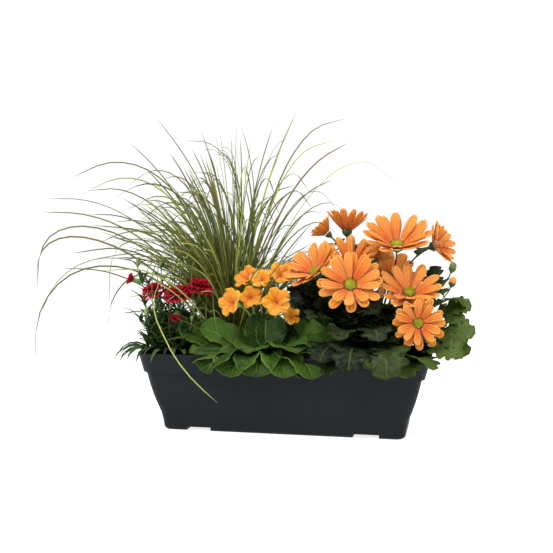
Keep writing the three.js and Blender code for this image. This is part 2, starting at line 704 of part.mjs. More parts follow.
// ---------------------------------------------------------------- the primrose
const PRIMROSE_FLOWERS = [
  { at: [-55, -20, 216], looks: [-0.35, -0.62, 0.7], radius: 21 },
  { at: [-30, -44, 217], looks: [-0.1, -0.75, 0.66], radius: 16 },
  { at: [-9, -14, 221], looks: [0.3, -0.66, 0.69], radius: 21 },
  { at: [-66, -64, 185], looks: [-0.45, -0.85, 0.28], radius: 21 },
  { at: [-44, -50, 192], looks: [0.2, -0.92, 0.35], radius: 17 },
  { at: [-4, -62, 187], looks: [0.12, -0.93, 0.35], radius: 21 },
  { at: [14, -54, 167], looks: [0.45, -0.87, 0.2], radius: 13 },
];
const PRIMROSE_LEAVES = [
  { azimuth: 234, lean: 52, bend: 142, length: 104, width: 33 },
  { azimuth: 276, lean: 54, bend: 150, length: 84, width: 30 },
  { azimuth: 304, lean: 44, bend: 142, length: 84, width: 24 },
  { azimuth: 328, lean: 30, bend: 112, length: 118, width: 24 },
  { azimuth: 352, lean: 46, bend: 96, length: 96, width: 27 },
  { azimuth: 316, lean: 14, bend: 70, length: 80, width: 30 },
  { azimuth: 203, lean: 34, bend: 80, length: 104, width: 25 },
  { azimuth: 178, lean: 44, bend: 84, length: 118, width: 25 },
  { azimuth: 256, lean: 16, bend: 72, length: 70, width: 25 },
  { azimuth: 20, lean: 36, bend: 92, length: 96, width: 24 },
  { azimuth: 62, lean: 34, bend: 96, length: 92, width: 24 },
  { azimuth: 104, lean: 34, bend: 92, length: 84, width: 22 },
];
// Degrees that a leaf may be turned aside and raised at its root to stay clear.
const PRIMROSE_TURNS = [
  [0, 0], [0, 6], [6, 0], [-6, 0], [0, 12], [8, 6], [-8, 6], [0, 18], [10, 12], [-10, 12],
  [0, 25], [16, 20], [-16, 20], [0, 32], [12, 32], [-12, 32], [0, 40], [20, 36], [-20, 36],
];

// Five broad petals, each notched at its end, round a deep eye.
function primroseFlower({ at, looks, radius }, seed) {
  const random = randomFrom(seed);
  const flower = new Growth();
  const petals = Array.from({ length: 5 }, (_, k) => {
    const turn = (2 * Math.PI * k) / 5;
    const length = radius * (0.84 + 0.06 * random());
    const start = vec(0.14 * radius * Math.cos(turn), 0.14 * radius * Math.sin(turn), 0);
    const pose = (raise) => {
      const angle = Math.PI / 2 - radians(16 + raise);
      return archPath(start, turn, angle - 0.35, angle + 0.5, length, 3);
    };
    const form = {
      half: outline([[0, 0.1], [0.5, 0.4], [1, 0.46]], length),
      stations: 2,
      columns: 4,
      shift: (t, v) => (t === 1 ? -0.14 * length * (1 - 2 * Math.abs(v)) ** 2 : 0),
      rise: (t, v) => 0.05 * length * t * Math.cos(1.5 * Math.PI * v),
    };
    return { turn, pose, form };
  });
  const place = facing(vec(...at), vec(...looks));
  const ring = { radius: 0.16 * radius, turn: 0, z: 0, rise: -0.7, depth: 1.9 };
  return solidOf(corolla([{ ...ring, petals: flower.settle(place, petals, 0.7 * radius) }]), place);
}

function primroseLeaf(plant, { azimuth, lean, bend, length, width }) {
  const turn = radians(azimuth);
  const out = vec(Math.cos(turn), Math.sin(turn), 0);
  const start = vec(plant.x, plant.y, SOIL_TOP + 1).addScaledVector(out, 0.85 * plant.radius);
  const path = archPath(start, turn, radians(lean), radians(bend), length, 8);
  const solid = solidOf(blade(path, sideOf(turn), {
    half: outline([[0, 0.08], [0.25, 0.36], [0.5, 0.95], [0.75, 1], [1, 0.38]], width),
    stations: 4,
    columns: 4,
    thickness: 1.4,
    root: 3,
    rise: (t, v) => width * (0.22 * v * v + 0.07 * Math.sin(17 * t + 2 * v) * v * v),
    shift: (t, v) => 0.06 * length * t * (1 - v * v),
  }));
  return { solid, from: start, towards: out, root: 14 };
}

function primroseGreen() {
  const plant = CROWNS.primrose;
  const growth = new Growth(crown(plant, 5));
  for (const { at, looks, radius } of PRIMROSE_FLOWERS) {
    const axis = vec(...looks).normalize();
    growth.stalk(plant, vec(...at).addScaledVector(axis, -13), axis, 1.4);
    growth.pieces.push(calyx(at, looks, 14, 0.2 * radius));
  }
  for (const leaf of PRIMROSE_LEAVES) {
    growth.need(([by, up]) => {
      const turned = { azimuth: leaf.azimuth + by, lean: leaf.lean - up, bend: leaf.bend - up / 2 };
      return primroseLeaf(plant, { ...leaf, ...turned });
    }, PRIMROSE_TURNS);
  }
  return growth.fused();
}

// ---------------------------------------------------------------- the chrysanthemum
// Where each flower head is, where it looks, how long its rays are and how far they are raised.
const FLOWER_HEADS = [
  { at: [100, -72, 213], looks: [0.06, -0.88, 0.47], ray: 44, raised: 14 },
  { at: [192, -78, 164], looks: [0.14, -0.97, 0.12], ray: 34, raised: 12 },
  { at: [178, -45, 201], looks: [0.1, -0.64, 0.76], ray: 44, raised: 20 },
  { at: [158, -5, 266], looks: [0.04, -0.55, 0.83], ray: 46, raised: 24 },
  { at: [210, 15, 266], looks: [0.86, -0.32, 0.4], ray: 32, raised: 28 },
  { at: [81, 42, 288], looks: [0.02, 0.14, 0.98], ray: 36, raised: 46 },
  { at: [53, 28, 284], looks: [-0.72, -0.1, 0.65], ray: 25, raised: 52 },
  { at: [48, -40, 229], looks: [-0.42, -0.55, 0.72], ray: 43, raised: 22 },
  { at: [92, -6, 238], looks: [0.02, -0.5, 0.86], ray: 42, raised: 30 },
  { at: [124, 30, 244], looks: [0.3, 0.35, 0.88], ray: 27, raised: 30 },
  { at: [140, 78, 214], looks: [0.1, 0.85, 0.48], ray: 43, raised: 18 },
];
const RAY_WHORLS = [9, 5];
const EYE_SHARE = 0.18; // radius of the eye, as a share of a ray's length

function flowerHeadRays(head, seed) {
  const random = randomFrom(seed);
  const place = facing(vec(...head.at), vec(...head.looks));
  const flower = new Growth();
  const rings = RAY_WHORLS.map((count, level) => {
    const step = (2 * Math.PI) / count;
    const radius = (EYE_SHARE + 0.06 - 0.03 * level) * head.ray;
    const ring = { radius, turn: 0.5 * level * step, z: 1.5 * level, rise: 0, depth: 1.6 };
    const rays = Array.from({ length: count }, (_, k) => {
      const turn = step * k + ring.turn;
      const lift = head.raised + 11 * level + 7 * (random() - 0.5);
      const length = head.ray * (0.77 - 0.06 * level + 0.07 * random());
      const start = vec(radius * Math.cos(turn), radius * Math.sin(turn), ring.z);
      const pose = (raise) => {
        const angle = Math.PI / 2 - radians(lift + raise);
        const shortened = length * (1 - Math.abs(raise) / 300);
        return archPath(start, turn, angle - 0.14, angle + 0.24, shortened, 4);
      };
      const form = {
        half: outline([[0, 0.4], [0.5, 1], [1, 0.55]], 0.145 * head.ray),
        stations: 2,
        thickness: 0.8,
        keeled: true,
      };
      return { turn, pose, form };
    });
    return { ...ring, petals: flower.settle(place, rays, 0.42 * head.ray) };
  });
  return solidOf(corolla(rings), place);
}

// The eye: a low dome whose florets stand out as points.
function flowerHeadEye(head) {
  const radius = EYE_SHARE * head.ray;
  const base = 2.2;
  const around = 8;
  const rows = 2;
  const profile = [[0, base], [radius, base]];
  for (let row = 0; row <= rows; row += 1) {
    const a = (Math.PI / 2) * (row / rows);
    profile.push([row === rows ? 0 : 0.9 * radius * Math.cos(a), base + 1 + 0.5 * radius * Math.sin(a)]);
  }
  const dome = lathe(profile, around);
  const position = dome.attributes.position;
  for (let i = 0; i < position.count; i += 1) {
    const [x, y, z] = [position.getX(i), position.getY(i), position.getZ(i)];
    const spoke = Math.round((Math.atan2(x, -y) / (2 * Math.PI)) * around);
    const raised = z > base + 1.2 && Math.hypot(x, y) > 0.5 && spoke % 2 === 0;
    position.setXYZ(i, x, y, raised ? z + 1 : z);
  }
  return solidOf(dome, facing(vec(...head.at), vec(...head.looks)));
}

// The green cup of scales under a flower head.
function involucre(head) {
  const radius = 0.17 * head.ray;
  const cup = lathe([[0, -9], [2, -8.4], [radius, -3], [0, -2]], 6);
  return solidOf(cup, facing(vec(...head.at), vec(...head.looks)));
}

const LOBES = [0.12, 0.72, 0.38, 1, 0.5, 0]; // half width from the stalk to the tip, in equal steps

function lobedLeaf(start, azimuth, lean, bend, length) {
  const solid = solidOf(blade(archPath(start, azimuth, lean, bend, length, 6), sideOf(azimuth), {
    half: outline(LOBES.map((share, i) => [i / (LOBES.length - 1), share]), 0.34 * length),
    stations: LOBES.length - 1,
    thickness: 1,
    keeled: true,
    shift: (t, v) => 0.12 * length * Math.abs(v) * Math.sin(Math.PI * t),
  }));
  return { solid, from: start, towards: vec(Math.cos(azimuth), Math.sin(azimuth), 0), root: 4 };
}

const CHRYSANTHEMUM_HEART = { centre: [132, -4, 143], radii: [62, 46, 38] };
const CHRYSANTHEMUM_LEAVES = { count: 32, length: 58 };
// Leaves that hang over the rim or stand out at the sides: azimuth and elevation on the heart, how
// far down the tip turns, and the length.
const OUTER_LEAVES = [
  [255, -12, 165, 78], [272, -14, 168, 80], [290, -10, 150, 72], [238, -8, 150, 76], [328, 5, 120, 82],
  [350, 12, 105, 88], [2, 38, 92, 84], [14, -4, 110, 76], [200, 20, 95, 62], [222, -24, 132, 74],
  [206, -16, 108, 70], [236, 4, 120, 66],
];
const BUDS = [
  { at: [237, 8, 233], radius: 4.5 },
  { at: [241, -12, 215], radius: 6 },
];

function chrysanthemumGreen() {
  const random = randomFrom(31);
  const plant = CROWNS.chrysanthemum;
  const growth = new Growth(crown(plant, 14), bushHeart(CHRYSANTHEMUM_HEART));
  const grow = (end, arrive, radius, leafAt, top) => {
    const path = growth.stalk(plant, end, arrive, radius);
    growth.pieces.push(top);
    const start = path.getPoint(leafAt + 0.35 * random());
    const heading = 2 * Math.PI * random();
    const length = 42 + 16 * random();
    const bend = 1.5 + 0.5 * random();
    growth.add((k) => {
      return lobedLeaf(start, heading + 0.5 * k, 0.8, bend + 0.06 * k, length * (1 - 0.025 * k));
    }, MANY_TRIES);
  };
  for (const head of FLOWER_HEADS) {
    const axis = vec(...head.looks).normalize();
    grow(vec(...head.at).addScaledVector(axis, -8), axis, 1.7, 0.4, involucre(head));
  }
  for (const bud of BUDS) {
    const ball = solidOf(new THREE.SphereGeometry(bud.radius, 6, 4).translate(...bud.at));
    grow(vec(...bud.at), vec(0.5, -0.1, 0.86), 1.3, 0.5, ball);
  }
  const leafOn = (azimuth, elevation, bend, length) => {
    const lean = Math.min(bend - 0.3, Math.PI / 2 - elevation - 0.35);
    growth.add((k) => {
      const turn = azimuth + 0.13 * k;
      const start = onHeart(CHRYSANTHEMUM_HEART, turn, elevation + 0.07 * Math.abs(k));
      const raised = 0.05 * Math.abs(k);
      return lobedLeaf(start, turn, lean - raised, bend - raised, length);
    }, FEW_TRIES);
  };
  for (const [azimuth, elevation, bend, length] of OUTER_LEAVES) {
    leafOn(radians(azimuth), radians(elevation), radians(bend), length);
  }
  for (let n = 0; n < CHRYSANTHEMUM_LEAVES.count; n += 1) {
    const elevation = Math.asin(-0.35 + (1.2 * (n + 0.5)) / CHRYSANTHEMUM_LEAVES.count);
    const length = CHRYSANTHEMUM_LEAVES.length * (0.85 + 0.3 * random());
    leafOn(n * GOLDEN_ANGLE, elevation, Math.PI / 2 - elevation + 0.5 + 0.4 * random(), length);
  }
  return growth.fused();
}

// ---------------------------------------------------------------- assembly
addNode("window_box", windowBox(), COLOURS.plastic, 0.55);
addNode("compost", compost(), COLOURS.compost, 1);
FLOWER_HEADS.forEach((head, k) => {
  addNode(`chrysanthemum_eye_${k + 1}`, flowerHeadEye(head), COLOURS.chrysanthemumEye, 0.8);
});
FLOWER_HEADS.forEach((head, k) => {
  addNode(`chrysanthemum_rays_${k + 1}`, flowerHeadRays(head, 100 + k), COLOURS.chrysanthemumRay, 0.6);
});
PINKS_BLOOMS.forEach((bloom, k) => {
  addNode(`pinks_bloom_${k + 1}`, pinksBloom(bloom, 200 + k), COLOURS.pinksPetal);
});
PRIMROSE_FLOWERS.forEach((flower, k) => {
  addNode(`primrose_flower_${k + 1}`, primroseFlower(flower, 300 + k), COLOURS.primrosePetal, 0.6);
});
addNode("primrose_green", primroseGreen(), COLOURS.primroseLeaf);
addNode("pinks_green", pinksGreen(), COLOURS.pinksLeaf);
addNode("chrysanthemum_green", chrysanthemumGreen(), COLOURS.chrysanthemumLeaf);
addNode("grass", grass(), COLOURS.grass);

export default root;
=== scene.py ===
"""A planted window box: the finished pieces and finishes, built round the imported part.

Metres, +Z up, the long side along X and the front towards -Y. The places of the blooms, the
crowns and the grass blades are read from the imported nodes.
"""

import random
from math import asin, atan2, copysign, cos, hypot, pi, radians, sin, sqrt

import bmesh
import bpy
from mathutils import Matrix, Vector, noise


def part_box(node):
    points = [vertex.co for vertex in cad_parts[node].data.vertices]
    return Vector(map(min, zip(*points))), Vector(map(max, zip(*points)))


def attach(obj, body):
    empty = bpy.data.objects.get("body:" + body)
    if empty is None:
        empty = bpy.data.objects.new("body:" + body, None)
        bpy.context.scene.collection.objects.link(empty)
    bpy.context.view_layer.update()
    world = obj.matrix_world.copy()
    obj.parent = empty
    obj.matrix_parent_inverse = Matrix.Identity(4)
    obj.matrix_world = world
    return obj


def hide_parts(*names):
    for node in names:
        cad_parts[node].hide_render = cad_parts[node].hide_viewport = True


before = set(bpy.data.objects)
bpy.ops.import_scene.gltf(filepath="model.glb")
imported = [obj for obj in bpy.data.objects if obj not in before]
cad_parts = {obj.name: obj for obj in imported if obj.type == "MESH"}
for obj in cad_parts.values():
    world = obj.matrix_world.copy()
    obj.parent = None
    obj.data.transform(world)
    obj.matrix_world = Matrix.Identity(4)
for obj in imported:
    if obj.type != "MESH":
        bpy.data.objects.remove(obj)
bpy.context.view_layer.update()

MM = 0.001
UP = Vector((0, 0, 1))
GOLDEN_ANGLE = radians(137.5)
SAME_SPOT = 0.002 * MM  # corners closer than this are one corner

# ---- sizes, in metres
SOIL_TOP = 97 * MM
ROOT_DEPTH = 26 * MM
RIM_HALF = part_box("window_box")[1].xy
CHANNEL = {"centre": 120.5 * MM, "width": 36.5 * MM, "height": 5.5 * MM}
DRAIN = {"radius": 4 * MM, "y": 30 * MM}
BASE_HALF = Vector((174, 59)) * MM
FLARE = Vector((23, 16)) * MM
# The corner radius at the foot, its growth up to the rim, and the most an inner wall takes off.
CORNER = {"radius": 13 * MM, "growth": 4 * MM, "loss": 4 * MM}
# How the walls lean out: the height and the share of the flare there.
LEAN = [(0, 0), (3, 0.02), (14, 0.09), (25, 0.2), (38, 0.42), (50, 0.61), (66, 0.81), (85, 1),
        (114, 1)]
# The walls from foot to lip and down inside: the height and how far outside the leaning wall.
OUTER_WALL = [
    (0, -3), (1, -1.6), (3, 0), (14, 0), (25, 0), (38, 0), (50, 0), (66, 0), (84.6, 0),
    (85, 0.3), (85, 3.6), (85.5, 4.1), (97, 7.3), (109.4, 10.8), (110.2, 11.4), (110.8, 12),
    (112.8, 12), (113.3, 11.8), (113.5, 11.2),
]
INNER_WALL = [
    (113.5, 9.8), (113.3, 9.3), (112.8, 9), (88, 1.6), (85, -2.4), (66, -2.5), (50, -2.5),
    (25, -2.5), (12, -2.5), (9, -3.5),
]
CORNER_STEPS = 10
TROUGH_SHARP = 38  # degrees between faces from which an edge stays hard
CRUMBS = 900


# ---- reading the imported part
def joined(node):
    """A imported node's mesh with its loose triangles joined."""
    bm = bmesh.new()
    bm.from_mesh(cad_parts[node].data)
    bmesh.ops.remove_doubles(bm, verts=bm.verts, dist=10 * SAME_SPOT)
    return bm


def middle(points):
    points = list(points)
    return sum(points, Vector()) / len(points)


def crown_of(node):
    """Where a plant stands: the middle of the root sunk in the compost, at the soil's height."""
    foot = SOIL_TOP - ROOT_DEPTH
    spots = [v.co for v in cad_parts[node].data.vertices
             if abs(v.co.z - foot) < MM and abs(v.co.y) < RIM_HALF.y - 20 * MM]
    x, y = [(min(side) + max(side)) / 2 for side in zip(*(p.xy for p in spots))]
    return Vector((x, y, SOIL_TOP))


def facing(at, axis):
    """The place of a shape that stands on a point and looks along an axis."""
    return Matrix.Translation(at) @ axis.to_track_quat("Z", "Y").to_matrix().to_4x4()


class Bloom:
    """Where a packed bloom sits and looks, its reach, and how far its petals are raised."""

    def __init__(self, petals, crown, depth, eye=None):
        bm = joined(petals)
        hubs = sorted(bm.verts, key=lambda v: (-len(v.link_edges), v.index))[:2]
        base, other = hubs[0].co.copy(), hubs[1].co.copy()
        if eye:
            other = middle(v.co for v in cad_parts[eye].data.vertices)
        axis = (other - base).normalized()
        if not eye and axis.dot(base - crown) < 0:
            axis.negate()
        if axis.dot(other - base) < 0:
            base = other
        self.axis = axis
        self.at = base + axis * depth
        across = [(v.co - self.at) - axis * axis.dot(v.co - self.at) for v in bm.verts]
        self.reach = max(p.length for p in across)
        tips = [v.co for v, p in zip(bm.verts, across) if p.length > 0.8 * self.reach]
        self.rise = axis.dot(middle(tips) - self.at)
        bm.free()

    def place(self, offset=0):
        return facing(self.at + self.axis * offset, self.axis)


TO_FRONT = Vector((0.2, -0.98, 0.05)).normalized()
# Kept clear of leaves and finer blades, as shares of a bloom's reach: the space round its middle
# as seen from the front, and the depth behind the middle at which that space begins.
CLEAR_ROUND, CLEAR_BEHIND = 0.9, 0.5


def packed_blooms():
    """The middle and the reach of every packed bloom."""
    found = []
    for name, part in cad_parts.items():
        if any(word in name for word in ("rays", "bloom", "flower")):
            centre = middle(v.co for v in part.data.vertices)
            found.append((centre, max((v.co - centre).length for v in part.data.vertices)))
    return found


BLOOMS = packed_blooms()


def hides_a_bloom(points):
    """Whether one of the points stands in front of a bloom, seen from the front."""
    for point in points:
        for centre, reach in BLOOMS:
            gap = point - centre
            ahead = gap.dot(TO_FRONT)
            beside = (gap - TO_FRONT * ahead).length
            if ahead > -CLEAR_BEHIND * reach and beside < CLEAR_ROUND * reach:
                return True
    return False


def blade_lines():
    """The middle line of each packed grass blade, from the tuft to its tip."""
    bm = joined("grass")
    lines = []
    for tip in [v for v in bm.verts if len(v.link_edges) == 3]:
        seen, ring, line = {tip}, [tip], [tip.co.copy()]
        while True:
            beyond = {e.other_vert(v) for v in ring for e in v.link_edges} - seen
            if len(beyond) != 3:
                break
            ring = sorted(beyond, key=lambda v: v.index)
            seen |= beyond
            line.append(middle(v.co for v in ring))
        if len(line) > 3:
            lines.append(line[::-1])
    bm.free()
    return lines


# ---- lines and thin shapes
def between(knots, t):
    """The value at t on a line through knots of (t, value, ...)."""
    for (t0, *low), (t1, *high) in zip(knots, knots[1:]):
        if t <= t1 + 1e-9:
            share = (t - t0) / (t1 - t0)
            values = [a + (b - a) * share for a, b in zip(low, high)]
            return values[0] if len(values) == 1 else values
    return knots[-1][1]


class Line:
    """A smooth line through points. Its frame keeps one direction as level as it can."""

    def __init__(self, points, side):
        self.points, self.side = points, side

    def point(self, t):
        spans = len(self.points) - 1
        k = min(int(t * spans), spans - 1)
        s = t * spans - k
        a, b = self.points[k], self.points[k + 1]
        before = self.points[k - 1] if k else a * 2 - b
        after = self.points[k + 2] if k + 2 <= spans else b * 2 - a
        bend = before * 2 - a * 5 + b * 4 - after
        twist = a * 3 - b * 3 + after - before
        return (a * 2 + (b - before) * s + bend * s**2 + twist * s**3) / 2

    def frame(self, t):
        ahead, behind = min(t + 0.02, 1), max(t - 0.02, 0)
        along = (self.point(ahead) - self.point(behind)).normalized()
        across = (self.side - along * along.dot(self.side)).normalized()
        return self.point(t), across, across.cross(along), along


def polar(radius, azimuth, height=0):
    return Vector((radius * cos(azimuth), radius * sin(azimuth), height))


def arch(start, azimuth, lean, bend, length, pieces=6, roll=0):
    """A line that starts at one angle from the vertical and bends to another."""
    out = polar(1, azimuth)
    points = [start.copy()]
    for i in range(pieces):
        angle = lean + (bend - lean) * ((i + 0.5) / pieces) ** 1.4
        step = out * sin(angle) + UP * cos(angle)
        points.append(points[-1] + step * (length / pieces))
    level = Vector((sin(azimuth), -cos(azimuth), 0))
    return Line(points, level * cos(roll) + UP * sin(roll))


def stalk_line(crown, end, arrive, spread=9 * MM, reach=90 * MM):
    """A line that leaves a plant's crown steeply and reaches a point along a given direction."""
    away = Vector((end.x - crown.x, end.y - crown.y, 0))
    foot = crown + away.normalized() * spread * min(1, away.length / reach) - UP * 6 * MM
    rise = end.z - foot.z
    first = foot.lerp(end, 0.1)
    first.z = foot.z + max(40 * MM, 0.5 * rise)
    last = end - arrive * 0.3 * rise
    points = []
    for i in range(9):
        s = i / 8
        points.append(foot * (1 - s) ** 3 + first * (3 * s * (1 - s) ** 2)
                      + last * (3 * s * s * (1 - s)) + end * s**3)
    return Line(points, Vector((0.3, 1, 0.1)))


def axis_line(place, length):
    """A straight line that comes up along a bloom's own axis and ends at its root."""
    return Line([place @ Vector((0, 0, -length * s)) for s in (1, 0.66, 0.33, 0)],
                place.to_3x3() @ Vector((1, 0, 0)))


def mesh_of(name, bm):
    mesh = bpy.data.meshes.new(name)
    bm.to_mesh(mesh)
    bm.free()
    return mesh


def put(name, data):
    """Adds an object to the scene."""
    made = bpy.data.objects.new(name, data)
    bpy.context.scene.collection.objects.link(made)
    return made


def smooth(mesh, sharp):
    """Smooth shading, with hard edges where faces meet at more than an angle in degrees."""
    mesh.polygons.foreach_set("use_smooth", [True] * len(mesh.polygons))
    mesh.set_sharp_from_angle(angle=radians(sharp))


class Piece:
    """A piece of the model while it grows. Its mesh carries a UV map and a tint."""

    def __init__(self, name):
        self.name = name
        self.bm = bmesh.new()
        self.bm.loops.layers.uv.new("UVMap")
        self.tint = self.bm.verts.layers.float.new("tint")

    def sheet(self, columns, rows, place, tint=0.5, finish=0):
        """A grid whose points place(u, t) gives, u from -1 to 1 across, t from 0 to 1 along."""
        made = bmesh.ops.create_grid(
            self.bm, x_segments=columns, y_segments=rows, size=1, calc_uvs=True)
        for vert in made["verts"]:
            vert.co = place(vert.co.x, (vert.co.y + 1) / 2)
            vert[self.tint] = tint
        self.give_finish(made["verts"], finish)

    def give_finish(self, verts, finish):
        if finish:
            for face in {f for v in verts for f in v.link_faces}:
                face.material_index = finish

    def tube(self, line, radius, sides=6, rows=10, tint=0.5, finish=0):
        """A round rod along a line, closed at both ends; radius is a size or a rule of t."""
        def place(u, t):
            row = round(t * rows)
            along = min(max((row - 1) / (rows - 2), 0), 1)
            centre, across, normal, _ = line.frame(along)
            size = 0 if row in (0, rows) else radius(along) if callable(radius) else radius
            turn = -pi * u
            return centre + (across * cos(turn) + normal * sin(turn)) * size
        self.sheet(sides, rows, place, tint, finish)

    def ball(self, centre, size, tint=0.5, detail=1, matrix=Matrix(), finish=0):
        made = bmesh.ops.create_icosphere(
            self.bm, subdivisions=detail, radius=1, matrix=Matrix.Translation(centre) @ matrix
            @ Matrix.Diagonal((*size, 1)))
        for vert in made["verts"]:
            vert[self.tint] = tint
        self.give_finish(made["verts"], finish)

    def done(self, finishes, slot, stands_for, wall=0, sharp=60):
        """Makes the object, gives its sheets a wall and hides the imported part that it stands for.
        """
        bmesh.ops.remove_doubles(self.bm, verts=self.bm.verts, dist=SAME_SPOT)
        mesh = mesh_of(self.name, self.bm)
        smooth(mesh, sharp)
        for finish in finishes:
            mesh.materials.append(finish)
        piece = put(self.name, mesh)
        if wall:
            solid = piece.modifiers.new("wall", "SOLIDIFY")
            solid.thickness = wall
            solid.offset = 0
        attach(piece, "root")
        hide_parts(stands_for)
        return piece


# ---- finishes
def paint(red, green, blue):
    """A screen colour, 0 to 255, as the shader's linear colour."""
    steps = [c / 255 for c in (red, green, blue)]
    linear = [c / 12.92 if c <= 0.04045 else ((c + 0.055) / 1.055) ** 2.4 for c in steps]
    return (*linear, 1)


SOCKETS = {"specular": "Specular IOR Level", "subsurface": "Subsurface Weight",
           "depth": "Subsurface Scale", "spread": "Subsurface Radius", "sheen": "Sheen Weight",
           "glow": "Emission Strength", "glow_colour": "Emission Color"}


class Finish:
    """A material made of nodes. Each method adds a node and gives the socket that it ends in."""

    def __init__(self, name, roughness, **fixed):
        self.material = bpy.data.materials.new(name)
        self.material.use_nodes = True
        self.nodes = self.material.node_tree.nodes
        self.shader = self.nodes["Principled BSDF"]
        self.set(self.shader.inputs["Roughness"], roughness)
        for key, value in fixed.items():
            self.shader.inputs[SOCKETS[key]].default_value = value
        self.spots = self.node("TexCoord")

    def set(self, socket, value):
        if isinstance(value, bpy.types.NodeSocket):
            self.material.node_tree.links.new(value, socket)
        else:
            socket.default_value = value

    def node(self, kind, *values, **named):
        """Adds a node and sets its sockets, in order or by name."""
        made = self.nodes.new("ShaderNode" + kind)
        sockets = [made.inputs[name] for name in named]
        for socket, value in zip([*sockets, *made.inputs], [*named.values(), *values]):
            self.set(socket, value)
        return made

    def sum(self, operation, *values):
        made = self.node("Math", *values)
        made.operation = operation
        return made.outputs[0]

    def times(self, value, share):
        return self.sum("MULTIPLY", value, share)

    def soft_step(self, value, low, high):
        made = self.node("MapRange", value, low, high)
        made.interpolation_type = "SMOOTHSTEP"
        return made.outputs[0]

    def mix(self, share, first, second):
        made = self.node("Mix", share)
        made.data_type = "RGBA"
        self.set(made.inputs[6], first)
        self.set(made.inputs[7], second)
        return made.outputs[2]

    def ramp(self, value, stops):
        """Blends colours by a value; a stop is a position and a screen colour."""
        made = self.node("ValToRGB", value)
        for _ in stops[2:]:
            made.color_ramp.elements.new(0.5)
        for element, (position, *colour) in zip(made.color_ramp.elements, stops):
            element.position = position
            element.color = paint(*colour)
        return made.outputs[0]

    def speckle(self, scale, detail=3.0, on="Object", stretch=(1, 1, 1)):
        spots = self.node("Mapping", Vector=self.spots.outputs[on], Scale=stretch)
        return self.node("TexNoise", Vector=spots.outputs[0], Scale=scale,
                         Detail=detail).outputs[0]

    def tint(self):
        made = self.node("Attribute")
        made.attribute_name = "tint"
        return made.outputs["Fac"]

    def mottle(self, spots, share, tinted):
        """Speckles and the tint of each leaf or grain, added up by their shares."""
        return self.sum("ADD", self.times(spots, share), self.times(self.tint(), tinted))

    def along(self):
        """How far from the middle line (0 to 1) and how far from the root (0 to 1)."""
        made = self.node("SeparateXYZ", self.spots.outputs["UV"])
        aside = self.sum("ABSOLUTE", self.sum("MULTIPLY_ADD", made.outputs[0], 2.0, -1.0))
        return aside, made.outputs[1]

    def bump(self, height, distance, strength=1.0):
        made = self.node("Bump", Strength=strength, Distance=distance, Height=height)
        self.set(self.shader.inputs["Normal"], made.outputs[0])

    def colour(self, value):
        self.set(self.shader.inputs["Base Color"], value)
        return self.material


def moulded_plastic():
    made = Finish("moulded plastic", 0.5, specular=0.1)
    dull = made.sum("MULTIPLY_ADD", made.speckle(40, 5), 0.2, 0.4)
    made.set(made.shader.inputs["Roughness"], dull)
    made.bump(made.speckle(1500, 2), 0.08 * MM, 0.35)
    return made.colour(made.ramp(made.speckle(9, 4), [(0.3, 23, 27, 29), (0.7, 29, 33, 36)]))


def peat():
    made = Finish("loose compost", 0.95, specular=0.2)
    made.bump(made.sum("ADD", made.speckle(260, 6), made.speckle(900, 3)), 1.2 * MM, 0.8)
    return made.colour(made.ramp(made.mottle(made.speckle(420, 6), 0.7, 0.35), [
        (0.3, 30, 23, 18), (0.5, 58, 44, 33), (0.68, 98, 76, 56)]))


def leaf_green(name, dark, light, vein, count, slant, roughness=0.55, depth=0.5, rib=0.07,
               rim=0.0):
    """Leaf skin: a pale rib and edge, side veins that leave the rib at a slant, mottled green."""
    made = Finish(name, roughness, subsurface=0.12, depth=0.002,
                  spread=(0.3, 1.0, 0.15), specular=0.12)
    aside, root_to_tip = made.along()
    wave = made.sum("SUBTRACT", made.times(root_to_tip, count), made.times(aside, slant))
    line = made.sum("ABSOLUTE", made.sum("SUBTRACT", made.sum("FRACT", wave), 0.5))
    side_veins = made.times(made.soft_step(line, 0.09, 0.0), made.soft_step(aside, 1.0, 0.5))
    midrib = made.soft_step(aside, rib, rib * 0.3)
    veins = made.sum("MAXIMUM", made.times(side_veins, 0.6), midrib)
    margin = made.times(made.soft_step(aside, 0.9, 1.0), rim)
    skin = made.ramp(made.mottle(made.speckle(150, 5), 0.5, 0.55),
                     [(0.25, *dark), (0.75, *light)])
    made.bump(made.sum("SUBTRACT", made.times(made.speckle(700, 3), 0.35), veins), depth * MM,
              0.6)
    pale = made.sum("MAXIMUM", made.times(veins, 0.75), margin)
    return made.colour(made.mix(pale, skin, paint(*vein)))


def petal_skin(name, stops, edge, edge_share, streaks=26, shine=0.3, depth=0.25):
    """Petal skin: a colour that changes from root to tip, with fine streaks along it."""
    made = Finish(name, 0.5, subsurface=0.2, depth=0.003, spread=(1.0, 0.5, 0.2),
                  specular=shine, sheen=0.4 * shine)
    aside, root_to_tip = made.along()
    fine = made.speckle(1.0, 4, "UV", (streaks, 1.5, 1))
    moved = made.sum("ADD", root_to_tip, made.times(made.sum("SUBTRACT", fine, 0.5), 0.3))
    body, edge = made.ramp(moved, stops), paint(*edge)
    toned = made.mix(made.times(made.tint(), 0.5), body, edge)
    rimmed = made.mix(made.times(made.soft_step(aside, 0.6, 1.0), edge_share), toned, edge)
    made.bump(fine, depth * MM, 0.5)
    return made.colour(rimmed)


